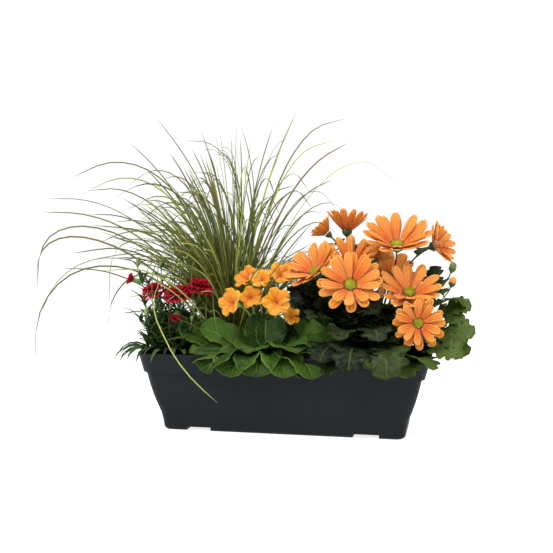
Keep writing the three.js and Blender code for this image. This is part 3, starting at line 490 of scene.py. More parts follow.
def grass_green():
    made = Finish("grass blade", 0.5, specular=0.4, subsurface=0.08, depth=0.001)
    _, root_to_tip = made.along()
    streak = made.speckle(1.0, 3, "UV", (5, 9, 1))
    green = made.ramp(root_to_tip, [
        (0.0, 40, 56, 12), (0.35, 82, 100, 22), (0.7, 94, 104, 38), (1.0, 74, 78, 54)])
    bronze = made.ramp(root_to_tip, [(0.0, 116, 112, 50), (1.0, 112, 84, 52)])
    pale = made.mix(made.soft_step(made.tint(), 0.4, 0.1), green, paint(176, 188, 96))
    toned = made.mix(made.soft_step(made.tint(), 0.86, 0.92), pale, bronze)
    made.bump(streak, 0.2 * MM, 0.5)
    return made.colour(made.mix(made.times(streak, 0.3), toned, paint(70, 80, 36)))


def stalk_green(name, low, high):
    made = Finish(name, 0.55, specular=0.35)
    made.bump(made.speckle(1.0, 3, "UV", (14, 3, 1)), 0.2 * MM, 0.5)
    return made.colour(made.ramp(made.mottle(made.speckle(90, 4), 0.6, 0.4),
                                 [(0.3, *low), (0.7, *high)]))


PLASTIC = moulded_plastic()
PEAT = peat()
GRASS = grass_green()
# The near-black dark end carries painted shade: chrysanthemum() gives shaded leaves inside the bush
# and off the lit side a tint near it.
CHRYSANTHEMUM_LEAF = leaf_green("chrysanthemum leaf", (6, 14, 7), (74, 92, 34), (68, 88, 44),
                                6, 1.6, 0.5, 0.8)
PRIMROSE_LEAF = leaf_green("primrose leaf", (10, 28, 8), (62, 92, 28), (108, 136, 62),
                           11, 2.6, 0.45, 1.5, 0.05, 0.35)
PINKS_LEAF = leaf_green("pinks leaf", (7, 16, 9), (56, 80, 34), (94, 116, 72),
                        1, 0, 0.55, 0.2, 0.2)
RAY_SKIN = petal_skin("chrysanthemum ray", [
    (0.0, 198, 70, 24), (0.3, 212, 100, 32), (0.7, 220, 127, 38), (1.0, 226, 147, 52)],
    (232, 166, 82), 0.3, 30)
PRIMROSE_SKIN = petal_skin("primrose petal", [
    (0.0, 190, 74, 3), (0.3, 205, 98, 5), (0.65, 214, 124, 7), (1.0, 221, 146, 14)],
    (230, 170, 46), 0.5, 16)
PINKS_SKIN = petal_skin("pinks petal", [
    (0.0, 74, 0, 12), (0.4, 124, 0, 24), (0.8, 158, 2, 34), (1.0, 172, 8, 44)],
    (168, 6, 40), 0.3, 20, 0.1)
EYE_SKIN = stalk_green("chrysanthemum eye", (128, 140, 22), (196, 190, 44))
CHRYSANTHEMUM_STALK = stalk_green("chrysanthemum stalk", (40, 62, 30), (86, 112, 58))
PRIMROSE_STALK = stalk_green("primrose stalk", (104, 134, 62), (158, 182, 98))
PINKS_STALK = stalk_green("pinks stalk", (60, 86, 40), (120, 150, 78))


# ---- the trough and its compost
def corner_turns():
    """For each corner of a rounded outline, its side along X and Y, and its directions."""
    turns = []
    for sx, sy, start in ((1, 1, 0), (-1, 1, 90), (-1, -1, 180), (1, -1, 270)):
        for k in range(CORNER_STEPS + 1):
            a = radians(start + 90 * k / CORNER_STEPS)
            turns.append((sx, sy, cos(a), sin(a)))
    return turns


def wall_at(height, out):
    """The half sizes and the corner radius of an outline that follows the leaning wall."""
    share = between(LEAN, height / MM)
    half = BASE_HALF + FLARE * share + Vector((out, out))
    return half, CORNER["radius"] + CORNER["growth"] * share + max(out, -CORNER["loss"])


def outline_at(verts, height, out):
    half, radius = wall_at(height, out)
    for vert, (sx, sy, across, deep) in zip(verts, corner_turns()):
        vert.co = Vector((sx * (half.x - radius) + radius * across,
                          sy * (half.y - radius) + radius * deep, height))


def raise_walls(bm, levels):
    """Extrudes a floor face through the levels.

    Fault: each step leaves its starting face, so a face lies across the hollow at every level.
    """
    face = bm.faces.new([bm.verts.new() for _ in corner_turns()])
    outline_at(face.verts, *levels[0])
    for level in levels[1:]:
        made = bmesh.ops.extrude_face_region(bm, geom=[face])
        face = next(g for g in made["geom"] if isinstance(g, bmesh.types.BMFace))
        outline_at(face.verts, *level)
    bmesh.ops.recalc_face_normals(bm, faces=bm.faces)


def in_metres(levels):
    return [tuple(value * MM for value in level) for level in levels]


def cut_away(piece, make):
    """Cuts the shape that `make` puts in a bmesh out of a piece."""
    bm = bmesh.new()
    make(bm)
    tool = put("cutter", mesh_of("cutter", bm))
    cut = piece.modifiers.new("cut", "BOOLEAN")
    cut.operation = "DIFFERENCE"
    cut.object = tool
    bpy.context.view_layer.update()
    graph = bpy.context.evaluated_depsgraph_get()
    result = bpy.data.meshes.new_from_object(piece.evaluated_get(graph), depsgraph=graph)
    piece.modifiers.remove(cut)
    piece.data = result
    bpy.data.objects.remove(tool)


def foot_channels(bm):
    for end in (-1, 1):
        size = Matrix.Diagonal((CHANNEL["width"], 4 * RIM_HALF.y, 2 * CHANNEL["height"], 1))
        centre = Vector((end * CHANNEL["centre"], 0, 0))
        bmesh.ops.create_cube(bm, size=1, matrix=Matrix.Translation(centre) @ size)


def drain_holes(bm):
    for end in (-1, 1):
        for side in (-1, 1):
            centre = Vector((end * CHANNEL["centre"], side * DRAIN["y"], 7 * MM))
            bmesh.ops.create_cone(bm, cap_ends=True, segments=24, radius1=DRAIN["radius"],
                                  radius2=DRAIN["radius"], depth=8 * MM,
                                  matrix=Matrix.Translation(centre))


def trough():
    piece = Piece("moulded_trough")
    raise_walls(piece.bm, in_metres(OUTER_WALL + INNER_WALL))
    made = piece.done([PLASTIC], "box_plastic", "window_box", sharp=TROUGH_SHARP)
    cut_away(made, foot_channels)
    cut_away(made, drain_holes)
    smooth(made.data, TROUGH_SHARP)


def compost():
    rng = random.Random(41)
    piece = Piece("compost_bed")
    half, corner = wall_at(94 * MM, 3 * MM)

    def lumpy(u, t):
        x, y = u * half.x, (2 * t - 1) * half.y
        over_x, over_y = abs(x) - (half.x - corner), abs(y) - (half.y - corner)
        if over_x > 0 and over_y > 0:
            pull = max(over_x, over_y) / hypot(over_x, over_y)
            x = copysign(half.x - corner + over_x * pull, x)
            y = copysign(half.y - corner + over_y * pull, y)
        spot = Vector((x, y, 0))
        rough = noise.fractal(spot * 90, 1.0, 2.0, 4) * 1.6 * MM + noise.noise(spot * 18) * 1.5 * MM
        edge = max(abs(u), abs(2 * t - 1)) ** 8
        return Vector((x, y, SOIL_TOP - 3 * MM * edge + rough * (1 - edge)))

    piece.sheet(110, 46, lumpy, 0.4)
    rim = [e for e in piece.bm.edges if e.is_boundary]
    below = half
    for height, out in in_metres([(88, 1.2), (84, -2.9), (50, -2.9), (25, -2.9), (10, -4.5)]):
        made = bmesh.ops.extrude_edge_only(piece.bm, edges=rim)["geom"]
        rim = [g for g in made if isinstance(g, bmesh.types.BMEdge)]
        narrow, _ = wall_at(height, out)
        for vert in {v for e in rim for v in e.verts}:
            x, y, _ = vert.co
            vert.co = Vector((x * narrow.x / below.x, y * narrow.y / below.y, height))
        below = narrow
    bmesh.ops.holes_fill(piece.bm, edges=rim, sides=0)
    bmesh.ops.recalc_face_normals(piece.bm, faces=piece.bm.faces)
    for _ in range(CRUMBS):
        x = (2 * rng.random() - 1) * (half.x - 5 * MM)
        y = (2 * rng.random() - 1) * (half.y - 5 * MM)
        if max(abs(x) - half.x + corner, 0) ** 2 + max(abs(y) - half.y + corner, 0) ** 2 > (
                corner - 4 * MM) ** 2:
            continue
        size = (0.6 + 2.2 * rng.random() ** 3) * MM
        shape = (size * (1 + rng.random()), size, size * (0.5 + 0.4 * rng.random()))
        turn = Matrix.Rotation(rng.random() * pi, 4, "Z")
        piece.ball((x, y, SOIL_TOP + 0.3 * size), shape, rng.random(), 1, turn)
    piece.done([PEAT], "compost", "compost", sharp=180)


# ---- the grass
GRASS_EXTRA = 880  # finer blades tried; those in front of a bloom are left out
# Left of this line and below this height only the long blades hang down.
OPEN_SIDE = {"x": -200 * MM, "z": 235 * MM}
GRASS_HALF_WIDTH = 1.25 * MM
BLADE_WIDTHS = [(0, 0.8), (0.25, 1), (0.6, 0.9), (0.85, 0.72), (0.96, 0.45), (1, 0.05)]


def grass_blade(piece, line, width, tint, fold=0.35):
    def place(u, t):
        centre, across, normal, _ = line.frame(t)
        half = width * between(BLADE_WIDTHS, t)
        return centre + across * (u * half) + normal * (abs(u) * half * fold)
    piece.sheet(2, 16, place, tint)


def grass():
    rng = random.Random(17)
    piece = Piece("grass_tuft")
    crown = crown_of("grass")
    lines = blade_lines()

    def grow(points, tint, width):
        away = points[-1] - crown
        azimuth = atan2(away.y, away.x) + rng.uniform(-0.5, 0.5)
        out = 21 * MM * rng.random() ** 0.6
        foot = crown + polar(1, azimuth) * out - UP * 4 * MM
        along = (points[-1] - foot).normalized()
        level = UP.cross(along).normalized()
        twist = rng.uniform(0.4, 2.3)
        side = level * cos(twist) + along.cross(level) * sin(twist)
        grass_blade(piece, Line([foot, *points], side), width, tint)

    for points in lines:
        grow(points, rng.random(), GRASS_HALF_WIDTH * rng.uniform(0.9, 1.2))
    tall = [points for points in lines if points[-1].z > 110 * MM]
    leaning = [points for points in tall if points[-1].x < crown.x - 80 * MM]
    for _ in range(GRASS_EXTRA):
        aside = rng.random() < 0.3
        points = rng.choice(leaning if aside else tall)
        turn = Matrix.Rotation(rng.gauss(0, 0.5), 3, "Z")
        out, up = rng.uniform(0.05, 0.98), rng.uniform(0.5, 0.98)
        if aside:
            out, up = 0.2 + 0.6 * out, 0.5 + 0.5 * up
        moved = []
        for point in points:
            spot = turn @ (point - crown)
            moved.append(crown + Vector((spot.x * out, spot.y * out, spot.z * up)))
        tip = moved[-1]
        if hides_a_bloom(moved) or (tip.x < OPEN_SIDE["x"] and tip.z < OPEN_SIDE["z"]):
            continue
        grow(moved, rng.random(), GRASS_HALF_WIDTH * rng.uniform(0.7, 1.1))
    piece.done([GRASS], "grass_blade", "grass", 0.25 * MM)


# ---- leaves
# Rows of a lobed leaf from its stalk to its tip: how far along, the half width, and how far the
# edge leans forward, as shares of the length.
LOBED_ROWS = [
    (0, 0.02, 0), (0.1, 0.03, 0), (0.16, 0.08, 0.02), (0.21, 0.21, 0.05), (0.26, 0.27, 0.07),
    (0.3, 0.25, 0.06), (0.35, 0.17, 0.03), (0.4, 0.18, 0.03), (0.45, 0.32, 0.06),
    (0.5, 0.38, 0.09), (0.55, 0.37, 0.09), (0.6, 0.25, 0.05), (0.64, 0.2, 0.03),
    (0.68, 0.29, 0.05), (0.73, 0.33, 0.07), (0.78, 0.31, 0.07), (0.82, 0.21, 0.03),
    (0.87, 0.19, 0.03), (0.91, 0.21, 0.03), (0.96, 0.15, 0.01), (1, 0, 0),
]
ROUND_WIDTHS = [(0, 0.12), (0.1, 0.15), (0.22, 0.4), (0.4, 0.8), (0.56, 0.98), (0.66, 1),
                (0.78, 0.95), (0.88, 0.8), (0.94, 0.62), (0.975, 0.42), (0.992, 0.24), (1, 0)]
SLIM_WIDTHS = [(0, 0.5), (0.35, 1), (0.7, 0.7), (1, 0)]


def lobed_leaf(piece, line, length, tint, rng):
    rows = len(LOBED_ROWS) - 1
    sway, phase = rng.uniform(0.04, 0.1), rng.uniform(0, 6)

    def place(u, t):
        at, half, lean = LOBED_ROWS[round(t * rows)]
        centre, across, normal, along = line.frame(at)
        half *= length
        cup = 0.18 * half * abs(u) + sway * length * sin(9 * at + phase) * u * abs(u) * 0.5
        return centre + across * (u * half) + along * (abs(u) * lean * length) + normal * cup
    piece.sheet(4, rows, place, tint)


def primrose_leaf(piece, line, length, width, tint, rng):
    """A broad leaf whose skin bulges between its side veins and whose edge is waved."""
    phase, bulge = rng.uniform(0, 6), 2.4 * MM

    def place(u, t):
        at = 1 - (1 - t) ** 1.4
        centre, across, normal, along = line.frame(at)
        half = width * between(ROUND_WIDTHS, at)
        puff = abs(sin(pi * (11 * at - 2.6 * abs(u) * (1 if t < 1 else 0))))
        raised = bulge * puff * min(1, 4 * at) * (1 - 0.5 * abs(u)) * min(1, 4 * abs(u))
        edge = 0.11 * sin(19 * at + phase + u) * abs(u) ** 3 * half
        ruffle = 0.035 * sin(60 * at + phase) * (abs(u) > 0.95) * half
        fold = 0.3 * half * abs(u) ** 1.5
        return (centre + across * (u * half + ruffle) + normal * (fold + raised + edge)
                - along * (0.04 * length * at**6 * (1 - abs(u))))
    piece.sheet(12, 28, place, tint)


def slim_leaf(piece, line, half_width, tint):
    def place(u, t):
        centre, across, normal, _ = line.frame(t)
        half = half_width * between(SLIM_WIDTHS, t)
        return centre + across * (u * half) + normal * (0.35 * abs(u) * half)
    piece.sheet(2, 5, place, tint)


def on_ellipsoid(centre, radii, azimuth, elevation, share=1.0):
    out = polar(cos(elevation), azimuth, sin(elevation))
    return centre + Vector(out[i] * radii[i] * share for i in range(3))


# ---- the chrysanthemum
RAY_WIDTHS = [(0, 0.36), (0.12, 0.5), (0.35, 0.8), (0.6, 0.97), (0.75, 1), (0.9, 0.8), (1, 0.42)]
BUSH = {"centre": Vector((126, -4, 146)) * MM, "radii": Vector((72, 50, 44)) * MM}
# Leaves that hang over the rim or stand out at the sides: the root in millimetres, the azimuth,
# how far the root and the tip lean, in degrees, the length in millimetres and the roll.
OUTER_LEAVES = [
    (206, -46, 138, 352, 66, 100, 64, -45), (210, -20, 166, 4, 60, 88, 56, -35),
    (214, -40, 150, 12, 48, 84, 46, -30), (208, -54, 126, 344, 50, 112, 50, -40),
    (216, -30, 142, 356, 70, 120, 48, -20), (196, -64, 122, 336, 68, 128, 62, -30),
    (176, -68, 112, 312, 66, 140, 60, 10), (108, -62, 118, 268, 56, 166, 88, 10),
    (140, -64, 116, 282, 60, 168, 92, -12), (84, -62, 118, 252, 52, 156, 70, 10),
    (158, -66, 116, 268, 50, 150, 66, 0), (98, -58, 140, 262, 50, 140, 60, 0),
    (128, -60, 144, 284, 54, 146, 64, -10), (186, 20, 150, 20, 60, 104, 70, 30),
    (170, 50, 128, 60, 60, 120, 70, 0), (80, 46, 130, 120, 60, 120, 70, 0),
    (204, -36, 118, 346, 64, 122, 60, -35), (64, -48, 150, 250, 34, 118, 54, 10),
    (78, -14, 150, 184, 16, 60, 50, 35), (80, -24, 160, 200, 24, 80, 46, 30),
    (70, -20, 140, 176, 10, 60, 56, 30), (40, -30, 150, 200, 30, 90, 54, 30),
    (50, -8, 168, 190, 40, 96, 54, 35), (34, -20, 124, 190, 40, 100, 50, 25),
    (120, -66, 108, 300, 62, 160, 60, 20), (174, -60, 104, 276, 60, 160, 58, 0),
    (96, -68, 104, 240, 62, 160, 54, 0), (62, 6, 150, 178, 10, 70, 58, 40),
    (50, 14, 140, 186, 8, 50, 60, 20), (66, 16, 160, 170, 20, 80, 56, 60),
    (58, 0, 172, 190, 30, 90, 50, 20), (44, 10, 126, 182, 6, 60, 62, 40),
    (72, -6, 150, 196, 4, 40, 54, 10), (40, -16, 134, 190, 4, 50, 58, 30),
    (56, -30, 128, 205, 0, 30, 56, 20), (36, -20, 116, 200, 20, 60, 58, 60),
    (26, -8, 124, 268, 6, 40, 62, 0), (38, -22, 120, 262, 8, 44, 62, 10),
    (30, 8, 164, 272, 4, 30, 60, 12), (50, 8, 168, 266, 4, 26, 58, -8),
    (16, 4, 160, 264, 2, 24, 54, -14), (204, 28, 188, 310, 8, 30, 52, 16),
]
BUSH_SHOOTS = 50
# Painted light: leaves are painted paler, as if lit, to the right of the first of these, over the
# width of the second, and only below the third; the others are held dark as painted shade.
PAINTED_LIGHT_SIDE = {"from": 130 * MM, "over": 70 * MM, "below": 215 * MM}
# Shares of a head's size: a ray's half width, the eye's radius and the radius of the cup below.
RAY_HALF, EYE_RADIUS, CUP_RADIUS = 0.145, 0.17, 0.2
EYE_FLORETS = 95
LONG_RAYS = {4: 1.12, 6: 1.1, 9: 1.08}  # heads whose rays are drawn out, by number
CHRYSANTHEMUM_BUDS = [(236, -10, 236), (236, -16, 216)]  # one green, and one that shows orange


def ray(piece, place, turn, lift, start, height, length, half, tint, rng):
    """One ray: grooved twice along its length, rounded and notched at its tip."""
    roll, curl = rng.uniform(-0.18, 0.18), rng.uniform(-0.12, 0.3)
    notch = rng.uniform(0.02, 0.06)
    line = arch(polar(start, turn, height), turn, pi / 2 - lift - 0.04, pi / 2 - lift + 0.06,
                length, 5)

    def spot(u, t):
        centre, across, normal, along = line.frame(t)
        wide = half * between(RAY_WIDTHS, t)
        groove = 0.11 * half * cos(3 * pi * u) * min(1, 4 * t)
        rise = groove + curl * wide * u * u + roll * wide * u * t
        back = notch * length * (1 - cos(3 * pi * u)) * 0.5 * (t > 0.99)
        return place @ (centre + across * (u * wide) + normal * rise - along * back)
    piece.sheet(6, 9, spot, tint)


def flower_head(k, crown):
    rng = random.Random(500 + k)
    rays_node, eye_node = f"chrysanthemum_rays_{k}", f"chrysanthemum_eye_{k}"
    bloom = Bloom(rays_node, crown, 1.6 * MM, eye_node)
    place = bloom.place()
    size = hypot(bloom.reach, bloom.rise)
    spread = size * LONG_RAYS.get(k, 1)
    lift = atan2(bloom.rise, bloom.reach)
    piece = Piece(f"ray_petals_{k}")
    for level, count in enumerate((12, 10)):
        for n in range(count):
            turn = 2 * pi * (n + 0.5 * level + rng.uniform(-0.16, 0.16)) / count
            raised = lift + 0.2 + 0.16 * level + rng.uniform(-0.08, 0.08)
            length = spread * (0.84 - 0.05 * level + rng.uniform(-0.05, 0.05))
            start = (0.2 - 0.03 * level) * size
            ray(piece, place, turn, raised, start, (0.4 + 1.4 * level) * MM, length,
                RAY_HALF * size * rng.uniform(0.88, 1.12), rng.random(), rng)
    piece.done([RAY_SKIN], "chrysanthemum_ray", rays_node, 0.45 * MM)
    eye = Piece(f"eye_florets_{k}")
    radius = EYE_RADIUS * size
    eye.ball(Vector(), (0.92 * radius, 0.92 * radius, 0.55 * radius), 0.3, 3)
    bmesh.ops.bisect_plane(eye.bm, geom=eye.bm.verts[:] + eye.bm.edges[:] + eye.bm.faces[:],
                           plane_co=(0, 0, 0), plane_no=(0, 0, 1), clear_inner=True)
    bmesh.ops.holes_fill(eye.bm, edges=[e for e in eye.bm.edges if e.is_boundary], sides=0)
    for n in range(EYE_FLORETS):
        share = sqrt((n + 0.5) / EYE_FLORETS)
        turn = n * GOLDEN_ANGLE
        out = polar(share, turn) * 0.95 * radius
        out.z = 0.55 * radius * sqrt(max(0, 1 - share * share * 0.92))
        lean = Vector((out.x * 0.9, out.y * 0.9, radius * 0.9)).normalized()
        tall = (0.6 + 0.9 * share) * MM
        made = bmesh.ops.create_cone(
            eye.bm, cap_ends=True, segments=5, radius1=0.42 * MM, radius2=0.5 * MM, depth=tall,
            matrix=facing(out + lean * 0.4 * tall, lean))
        for vert in made["verts"]:
            vert[eye.tint] = 0.35 + 0.65 * share * rng.random()
    bmesh.ops.transform(eye.bm, matrix=bloom.place(2.2 * MM), verts=eye.bm.verts)
    eye.done([EYE_SKIN], "chrysanthemum_eye", eye_node, sharp=40)
    return bloom, size


def green_cup(piece, place, radius, depth, scales, tint):
    """The cup under a flower head: a funnel covered with small scales."""
    piece.tube(axis_line(place, depth),
               lambda t: radius * (0.24 + 0.76 * min(1, 1.5 * t) ** 0.8), 10, 8, tint)
    for n in range(scales):
        turn = 2 * pi * n / scales + (n % 2) * 0.2
        low = -depth * (0.62 if n % 2 else 0.4)
        line = arch(polar(0.8 * radius, turn, low), turn, 0.5, 0.75, 0.6 * depth, 3)

        def spot(u, t, line=line):
            centre, across, normal, _ = line.frame(t)
            return place @ (centre + across * (u * 0.24 * radius * (1 - t**3)))
        piece.sheet(2, 4, spot, 0.8)


def chrysanthemum():
    rng = random.Random(77)
    crown = crown_of("chrysanthemum_green")
    stalks, leaves = Piece("chrysanthemum_stalks"), Piece("chrysanthemum_leaves")
    blooms, sizes = zip(*(flower_head(k, crown) for k in range(1, 12)))

    def leaf(start, azimuth, lean, bend, length, roll):
        line = arch(start, azimuth, lean, bend, length, 6, roll)
        if hides_a_bloom([line.point(t) for t in (0.2, 0.4, 0.6, 0.8, 1)]):
            return
        spot = line.point(0.7)
        # Painted shade: the deeper a leaf sits inside the bush, the darker its tint paints it.
        inside = spot - BUSH["centre"]
        depth = Vector(inside[i] / BUSH["radii"][i] for i in range(3)).length
        # Painted light: only leaves on the lit right side, below a height, may be painted pale; the
        # rest stay dark as painted shade.
        painted_light = min(max((spot.x - PAINTED_LIGHT_SIDE["from"]) / PAINTED_LIGHT_SIDE["over"], 0), 1)
        painted_light *= spot.z < PAINTED_LIGHT_SIDE["below"]
        tint = min(max(1.1 * (depth - 0.55), 0), 0.02 + 0.66 * painted_light) + rng.uniform(0, 0.2)
        lobed_leaf(leaves, line, length, tint, rng)

    def shoot(end, arrive, radius, count, first, last):
        line = stalk_line(crown, end, arrive)
        stalks.tube(line, lambda t: radius * (1.25 - 0.45 * t), 6, 14, rng.random())
        turn = rng.uniform(0, 6)
        for n in range(count):
            at = first + (last - first) * (n + 0.5 * rng.random()) / count
            turn += GOLDEN_ANGLE
            length = (66 - 26 * at) * MM * rng.uniform(0.85, 1.15)
            leaf(line.point(at), turn, rng.uniform(0.5, 1.0), rng.uniform(1.6, 2.7), length,
                 rng.uniform(-0.6, 0.6))

    for bloom, size in zip(blooms, sizes):
        green_cup(stalks, bloom.place(-0.6 * MM), CUP_RADIUS * size, 9 * MM, 12, 0.5)
        shoot(bloom.at - bloom.axis * 8 * MM, bloom.axis, 1.5 * MM, 10, 0.28, 0.95)
    for n in range(BUSH_SHOOTS):
        elevation = asin(-0.72 + 1.6 * (n + 0.5) / BUSH_SHOOTS)
        azimuth = n * GOLDEN_ANGLE
        end = on_ellipsoid(BUSH["centre"], BUSH["radii"], azimuth, elevation, 0.85)
        shoot(end, polar(0.6, azimuth, 0.5).normalized(), 1.2 * MM, 7, 0.4, 1.0)
    for finish, spot in enumerate(CHRYSANTHEMUM_BUDS):
        end = Vector(spot) * MM
        axis = Vector((0.3, -0.2, 1)).normalized()
        green_cup(stalks, facing(end, axis), 5 * MM, 8 * MM, 10, 0.7)
        stalks.ball(end + axis * 2 * MM, (5 * MM, 5 * MM, 6 * MM), 1.0, 3, finish=finish)
        shoot(end - axis * 7 * MM, axis, 1.1 * MM, 5, 0.4, 0.9)
    for *root, azimuth, lean, bend, length, roll in OUTER_LEAVES:
        leaf(Vector(root) * MM, radians(azimuth), radians(lean), radians(bend),
             length * MM, radians(roll))
    stalks.done([CHRYSANTHEMUM_STALK, RAY_SKIN], "chrysanthemum_leaf", "chrysanthemum_green")
    leaves.done([CHRYSANTHEMUM_LEAF], "chrysanthemum_leaf", "chrysanthemum_green", 0.5 * MM)


# ---- the pinks
PINKS_MOUND = {"centre": Vector((-170, -16, 124)) * MM, "radii": Vector((52, 44, 48)) * MM}


def fringed_petal(piece, place, turn, lift, root, height, length, half, tint, rng):
    """A fan whose broad end is cut into teeth and ruffled."""
    line = arch(polar(root, turn, height), turn, pi / 2 - lift - 0.25, pi / 2 - lift + 0.4,
                length, 4)
    phase = rng.uniform(0, 6)

    def spot(u, t):
        centre, across, normal, along = line.frame(t)
        wide = 0.1 * half + 0.9 * half * t**0.8
        ruffle = 0.13 * length * t * t * sin(9 * u + phase)
        tooth = (0.16 * u * u + 0.1 * (round(6 * (u + 1)) % 2)) * length * (t > 0.99)
        return place @ (centre + across * (u * wide) + normal * ruffle - along * tooth)
    piece.sheet(12, 5, spot, tint)


def pinks_bloom(k, crown):
    rng = random.Random(700 + k)
    node = f"pinks_bloom_{k}"
    bloom = Bloom(node, crown, 1.4 * MM)
    place = bloom.place()
    piece = Piece(f"frilled_bloom_{k}")
    size = bloom.reach
    if k > 3:
        size = hypot(bloom.reach, bloom.rise)
        whorls = [(5, 58, 0.95), (4, 72, 0.9)]
    else:
        whorls = [(5, -14, 0.88), (5, 12, 0.88), (5, 36, 0.84), (5, 58, 0.76), (4, 74, 0.66)]
    for level, (count, lift, reach) in enumerate(whorls):
        for n in range(count):
            turn = 2 * pi * (n + 0.4 * level + rng.uniform(-0.1, 0.1)) / count
            length = size * reach * rng.uniform(0.92, 1.04)
            fringed_petal(piece, place, turn, radians(lift + rng.uniform(-6, 6)),
                          (3 - 0.5 * level) * MM, 0.6 * level * MM, length, 0.72 * length,
                          rng.random(), rng)
    piece.done([PINKS_SKIN], "pinks_petal", node, 0.4 * MM)
    return bloom


def tapered(piece, place, length, radius, knots, tint, sides=8, rows=12):
    """A turned shape along a bloom's own axis, ending at its root."""
    piece.tube(axis_line(place, length), lambda t: radius * between(knots, t), sides, rows, tint)


MOUND_SHOOTS = 66
# Ends of the tall shoots and feet of the buds, in millimetres, and the azimuths of the leaves
# that hang over the rim.
PINKS_SHOOTS = [(-222, -24, 158), (-214, -30, 186), (-206, -26, 210), (-196, -44, 150),
                (-180, -50, 166), (-150, -56, 150)]
PINKS_BUDS = [(-229, -8, 240), (-190, -14, 240), (-196, -64, 172), (-128, -62, 168)]
HANGING = [172, 182, 190, 198, 206, 212, 218, 225, 232, 240, 248, 256, 266, 276, 286, 298]


def pinks():
    rng = random.Random(91)
    crown = crown_of("pinks_green")
    stalks, leaves = Piece("pinks_stalks"), Piece("pinks_leaves")

    def leaf(start, azimuth, lean, bend, length, half):
        slim_leaf(leaves, arch(start, azimuth, lean, bend, length, 4), half, rng.random())

    def shoot(end, arrive, radius, pairs, first, size):
        line = stalk_line(crown, end, arrive, 8 * MM, 55 * MM)
        stalks.tube(line, radius, 5, 12, rng.random())
        turn = rng.uniform(0, 3)
        for n in range(pairs):
            start = line.point(first + (0.98 - first) * n / max(1, pairs - 1))
            turn += pi / 2
            for half in (0, pi):
                leaf(start, turn + half + rng.uniform(-0.2, 0.2), rng.uniform(0.35, 0.7),
                     rng.uniform(1.0, 2.0), size * rng.uniform(0.8, 1.2), 2.7 * MM)

    for k in range(1, 6):
        bloom = pinks_bloom(k, crown)
        length = (13 if k > 3 else 15) * MM
        tapered(stalks, bloom.place(1 * MM), length, (3.8 if k > 3 else 3) * MM,
                [(0, 0.5), (0.3, 0.95), (0.8, 1), (1, 0.9)], 0.7)
        shoot(bloom.at - bloom.axis * (length - MM), bloom.axis, 0.9 * MM, 6, 0.2, 26 * MM)
    for spot in PINKS_BUDS:
        axis = Vector((0.1, -0.2, 1)).normalized()
        end = Vector(spot) * MM
        tapered(stalks, facing(end + axis * 8 * MM, axis), 16 * MM, 3.2 * MM,
                [(0, 0.4), (0.2, 0.8), (0.5, 1), (0.8, 0.6), (1, 0.1)], 0.9)
        shoot(end - axis * 7 * MM, axis, 0.8 * MM, 5, 0.3, 24 * MM)
    for spot in PINKS_SHOOTS:
        shoot(Vector(spot) * MM, Vector((-0.2, -0.1, 1)).normalized(), MM, 9, 0.2, 26 * MM)
    for n in range(MOUND_SHOOTS):
        elevation = asin(-0.5 + 1.4 * (n + 0.5) / MOUND_SHOOTS)
        azimuth = n * GOLDEN_ANGLE
        end = on_ellipsoid(PINKS_MOUND["centre"], PINKS_MOUND["radii"], azimuth, elevation,
                           rng.uniform(0.6, 1.0))
        shoot(end, polar(0.7, azimuth, 0.7).normalized(), 0.8 * MM, 6, 0.35, 32 * MM)
    for azimuth in HANGING:
        turn = radians(azimuth)
        start = on_ellipsoid(PINKS_MOUND["centre"], PINKS_MOUND["radii"], turn, -0.35, 0.78)
        leaf(start, turn, rng.uniform(0.9, 1.2), rng.uniform(2.5, 2.9), rng.uniform(44, 64) * MM,
             4.4 * MM)
    stalks.done([PINKS_STALK], "pinks_leaf", "pinks_green")
    leaves.done([PINKS_LEAF], "pinks_leaf", "pinks_green", 0.4 * MM)


# ---- the primrose
# Each leaf's azimuth, its lean at the root and at the tip, in degrees, its length and half width
# in millimetres, and its roll in degrees.
PRIMROSE_LEAVES = [
    (184, 60, 78, 126, 26, 44), (190, 49, 72, 98, 25, 40), (98, 8, 32, 74, 30, 0),
    (130, 12, 34, 60, 22, 10), (224, 48, 164, 102, 38, 6), (206, 56, 134, 106, 28, 20),
    (272, 48, 168, 82, 33, 0), (300, 50, 166, 86, 30, 0), (334, 44, 116, 106, 30, -15),
    (322, 54, 160, 104, 33, -8), (344, 56, 138, 108, 28, -20), (314, 58, 156, 86, 9, 0),
    (247, 52, 164, 86, 34, 3), (310, 40, 120, 90, 28, -5), (352, 46, 96, 96, 26, -30),
    (20, 36, 92, 96, 24, 0), (62, 34, 96, 92, 24, 0), (104, 34, 92, 84, 22, 0),
    (150, 44, 90, 90, 24, 0), (172, 52, 96, 112, 25, 30), (262, 34, 120, 70, 30, 0),
    (342, 50, 112, 116, 33, -36), (350, 42, 84, 104, 29, -50),
]
UPRIGHT_BEND = 40  # leaves bent no more than this stand up and are rooted in front of the crown
PETAL_WIDTHS = [(0, 0.1), (0.25, 0.34), (0.55, 0.58), (0.8, 0.66), (0.93, 0.58), (1, 0.4)]


